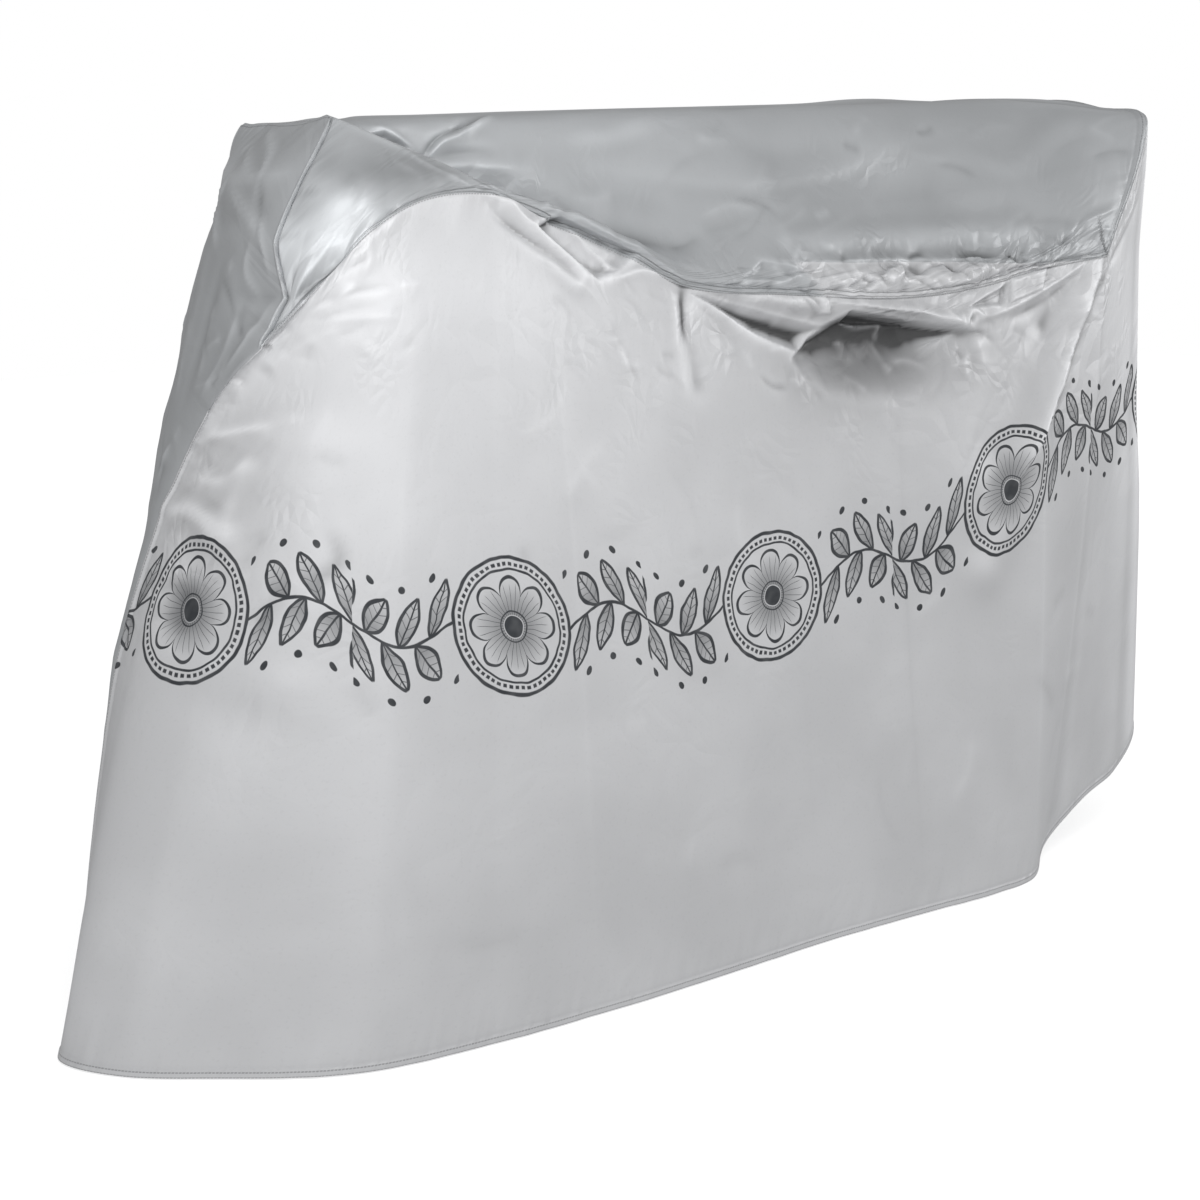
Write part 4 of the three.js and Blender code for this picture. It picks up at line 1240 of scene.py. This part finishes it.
def spray(g, x, y):
    """Half a spray, from the middle between two rosettes: a waved stem with leaves on both sides."""
    wave = g.times(g.math("SINE", g.times(x, math.pi / STEM_LENGTH)), STEM_WAVE)
    over = g.minus(y, wave)
    upper = g.math("SIGN", over)
    beside = g.absolute(over)
    stem = g.stripe(over, 0.0, STEM_HALF)
    start = g.total(x, g.times(upper, LEAF_STEP / 4), -0.004)
    cell = g.math("WRAP", start, LEAF_STEP - 0.006, -0.006)
    root = g.minus(x, cell)
    leaves = g.times(leaf(g, cell, beside), g.ramp(root, LEAVES_END + 0.001, LEAVES_END - 0.001))
    berry_x = g.minus(g.math("WRAP", g.total(start, 0.012), LEAF_STEP, 0.0), LEAF_STEP / 2)
    berry_y = g.minus(beside, BERRY_HEIGHT)
    away = g.radius(berry_x, berry_y)
    berries = g.ramp(away, BERRY_RADIUS + INK_BLUR, BERRY_RADIUS - INK_BLUR)
    return g.times(g.most(stem, leaves, berries), g.ramp(x, SPRAY_END + INK_BLUR, SPRAY_END - INK_BLUR))


def rosette(g, x, y):
    """Eight round petals in a double ring, with veins, a dark eye and a beaded rim."""
    radius = g.radius(x, y)
    angle = g.math("ARCTAN2", y, x)
    lobes = g.absolute(g.math("COSINE", g.times(angle, 4)))
    reach = g.total(PETAL_START, g.times(g.math("POWER", lobes, 0.55), PETAL_REACH))
    depth = g.minus(reach, radius)
    petals, outline = inked(g, depth)
    veins = g.absolute(g.math("SINE", g.times(angle, 16)))
    veins = g.times(g.ramp(g.times(veins, radius), 0.0052, 0.0036), petals, g.ramp(radius, 0.052, 0.044))
    fill = g.times(petals, g.ramp(radius, 0.062, 0.012), 0.62)
    eye = g.ramp(radius, EYE_RADIUS + INK_BLUR, EYE_RADIUS - INK_BLUR)
    round_eye = g.ramp(radius, EYE_RADIUS + INK_BLUR, EYE_RADIUS + 3 * INK_BLUR)
    beads = g.ramp(g.math("PINGPONG", g.times(angle, BEAD_COUNT / math.pi), 0.5), 0.16, 0.24)
    beads = g.times(beads, g.stripe(radius, *BEAD_RING))
    rings = [g.stripe(radius, *ring) for ring in RINGS]
    return g.most(g.times(g.most(outline, veins, fill), round_eye), eye, beads, *rings)


def garland(g):
    """A band of rosettes joined by sprays of leaves, in the print's own flat measures."""
    print_map = g.node("ShaderNodeUVMap", uv_map="print").outputs[0]
    drawn = g.warped(print_map, 40.0, 0.004)
    split = g.node("ShaderNodeSeparateXYZ", {0: drawn})
    half = ROSETTE_STEP / 2
    x = g.math("WRAP", g.minus(split.outputs[0], ROSETTE_START), half, -half)
    y = g.minus(split.outputs[1], PRINT_MIDDLE)
    flower = rosette(g, x, y)
    between = g.minus(half, g.absolute(x))
    half_spray = spray(g, between, g.times(y, g.math("SIGN", x)))
    patchy = g.total(0.9, g.times(g.noise(print_map, 60.0, 1.0), 0.16))
    return g.times(g.most(flower, half_spray), patchy)


def cloudy(g, colour, clouds):
    dim = tuple(0.96 * part for part in colour)
    bright = tuple(1.03 * part for part in colour)
    return g.blend(g.ramp(clouds, 0.3, 0.7), (*dim, 1), (*bright, 1))


def film_material(name, colour, roughness, printed, lit_band=None):
    """The film; where a colour for the lit band is given, the points marked for the band have that colour
    instead, as painted light.
    """
    g = Graph(name)
    place = g.node("ShaderNodeUVMap", uv_map="cloth").outputs[0]
    thread = stitches(g)
    height = g.total(crumple_height(g, place), g.times(thread, 0.0005))
    bump = g.node("ShaderNodeBump", {"Height": height, "Strength": 1.0, "Distance": 1.0})
    clouds = g.noise(place, 5.0, 3.0)
    specks = g.noise(place, 210.0, 1.0)
    film = cloudy(g, colour, clouds)
    if lit_band:
        # Painted light: the top panel's crumpled band takes the sides' lighter silver.
        film = g.blend(g.ramp(g.attribute("lit_band"), 0.3, 0.7), film, cloudy(g, lit_band, clouds))
    film = g.blend(g.times(g.ramp(specks, 0.6, 0.8), 0.06), film, (0.3, 0.3, 0.3, 1))
    # Painted light and shade: the film's colour is scaled by its painted highlights and painted shade.
    film = g.scaled(film, g.attribute("painted_light_shade"))
    rubbed = g.total(roughness - 0.06, g.times(clouds, 0.1), g.times(specks, 0.04))
    film = g.blend(g.times(thread, 0.45), film, (0.16, 0.165, 0.17, 1))
    metal = METAL
    if printed:
        ink = garland(g)
        film = g.blend(ink, film, (*INK, 1))
        rubbed = g.total(rubbed, g.times(ink, 0.12))
        metal = g.minus(METAL, g.times(ink, METAL - INK_METAL))
    g.feed(film, g.shader.inputs["Base Color"])
    g.feed(rubbed, g.shader.inputs["Roughness"])
    g.feed(metal, g.shader.inputs["Metallic"])
    g.feed(bump.outputs[0], g.shader.inputs["Normal"])
    return g.material


def flat_places(grid):
    """Flat cloth coordinates in metres: along the panel, and up from the hem."""
    along = np.linalg.norm(np.diff(grid, axis=0), axis=-1)
    middle = along.shape[1] // 3
    along = np.concatenate([[0], np.cumsum(along[:, middle])])
    up = np.linalg.norm(np.diff(grid, axis=1), axis=-1)
    up = np.concatenate([np.zeros((len(grid), 1)), np.cumsum(up, axis=1)], axis=1)
    return np.stack([np.broadcast_to(along[:, None], up.shape), up], -1) * MM


def put_in_scene(name, data):
    obj = bpy.data.objects.new(name, data)
    bpy.context.scene.collection.objects.link(obj)
    return obj


def place_camera():
    data = bpy.data.cameras.new("camera")
    data.lens = CAMERA_LENS
    data.sensor_width = 36
    data.clip_end = 50
    camera = put_in_scene("camera", data)
    camera.location = CAMERA_PLACE
    camera.rotation_euler = (math.radians(90 - CAMERA_PITCH), 0, math.radians(CAMERA_TURN))
    bpy.context.scene.camera = camera


def soft_box(name, place, target, size, power):
    data = bpy.data.lights.new(name, "AREA")
    data.shape = "RECTANGLE"
    data.size, data.size_y = size
    data.energy = power
    light = put_in_scene(name, data)
    way = np.subtract(target, place)
    tilt = math.atan2(math.hypot(way[0], way[1]), -way[2])
    light.location = place
    light.rotation_euler = (tilt, 0, math.pi + math.atan2(way[0], -way[1]))


def add_math(tree, operation, value, number):
    made = tree.nodes.new("ShaderNodeMath")
    made.operation = operation
    made.inputs[1].default_value = number
    tree.links.new(value, made.inputs[0])
    return made.outputs[0]


def light_studio():
    """An even room, brighter in front and to the left, with soft boxes before the nose and the tail."""
    world = bpy.data.worlds.new("studio")
    bpy.context.scene.world = world
    world.use_nodes = True
    tree = world.node_tree
    room = tree.nodes["Background"]
    toward = tree.nodes.new("ShaderNodeTexCoord")
    front = tree.nodes.new("ShaderNodeVectorMath")
    front.operation = "DOT_PRODUCT"
    front.inputs[1].default_value = ROOM_LIGHT
    level = add_math(tree, "MAXIMUM", front.outputs["Value"], 0)
    level = add_math(tree, "POWER", level, 2)
    level = add_math(tree, "MULTIPLY", level, ROOM_MORE)
    level = add_math(tree, "ADD", level, ROOM_LEVEL)
    room.inputs["Color"].default_value = (1, 1, 1, 1)
    tree.links.new(toward.outputs["Generated"], front.inputs[0])
    tree.links.new(level, room.inputs["Strength"])
    white = tree.nodes.new("ShaderNodeBackground")
    white.inputs["Color"].default_value = (1, 1, 1, 1)
    white.inputs["Strength"].default_value = 1.0
    path = tree.nodes.new("ShaderNodeLightPath")
    mix = tree.nodes.new("ShaderNodeMixShader")
    tree.links.new(path.outputs["Is Camera Ray"], mix.inputs[0])
    tree.links.new(room.outputs[0], mix.inputs[1])
    tree.links.new(white.outputs[0], mix.inputs[2])
    tree.links.new(mix.outputs[0], tree.nodes["World Output"].inputs["Surface"])
    for box in SOFT_BOXES:
        soft_box(*box)
    bpy.context.scene.view_settings.view_transform = "Standard"


def lay_floor():
    mesh = bpy.data.meshes.new("floor")
    height = -SUPPORT_HEIGHT * MM - FLOOR_GAP
    corners = [(FLOOR_HALF * x, FLOOR_HALF * y, height) for x, y in ((-1, -1), (1, -1), (1, 1), (-1, 1))]
    mesh.from_pydata(corners, [], [(0, 1, 2, 3)])
    g = Graph("floor")
    g.shader.inputs["Base Color"].default_value = (0.9, 0.9, 0.9, 1)
    g.shader.inputs["Roughness"].default_value = 0.9
    g.shader.inputs["Emission Color"].default_value = (1, 1, 1, 1)
    g.shader.inputs["Emission Strength"].default_value = FLOOR_GLOW
    mesh.materials.append(g.material)
    floor = put_in_scene("floor", mesh)
    floor.visible_diffuse = False
    floor.visible_glossy = False


def build():
    silver = film_material("printed_film", SILVER, 0.50, printed=True)
    # The top and front panels' darker silver is painted shade, and the top panel's crumpled band is painted
    # light in the sides' silver.
    plain = film_material("plain_film", SHADED_SILVER, 0.46, printed=False)
    both = film_material("shaded_film_lit_band", SHADED_SILVER, 0.46, printed=False, lit_band=SILVER)
    materials = {"near_side": silver, "far_side": silver, "front_gore": plain, "top_cloth": both}
    for name, grid, unfolded in make_grids():
        node, slot, flat, area = PANELS[name]
        run, gap = stitch_places(name, grid)
        levels = {"crumple": crumple_levels(name, grid), "run": run * MM, "gap": gap * MM}
        # Painted highlights and painted shade of creases, folds, hollows, lip, slit and patches.
        levels["painted_light_shade"] = painted_light_and_shade_levels(name, grid)
        maps = {"cloth": flat_places(grid)}
        if name == "top_cloth":
            # The crumpled band that is painted light.
            levels["lit_band"] = band_light_share(grid)
        if slot == "printed_film":
            maps["print"] = print_places(unfolded)
        obj = sheet_object(name, grid, materials[name], maps, levels)
        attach(obj, "root")
        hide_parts(node)


place_camera()
light_studio()
lay_floor()
build()
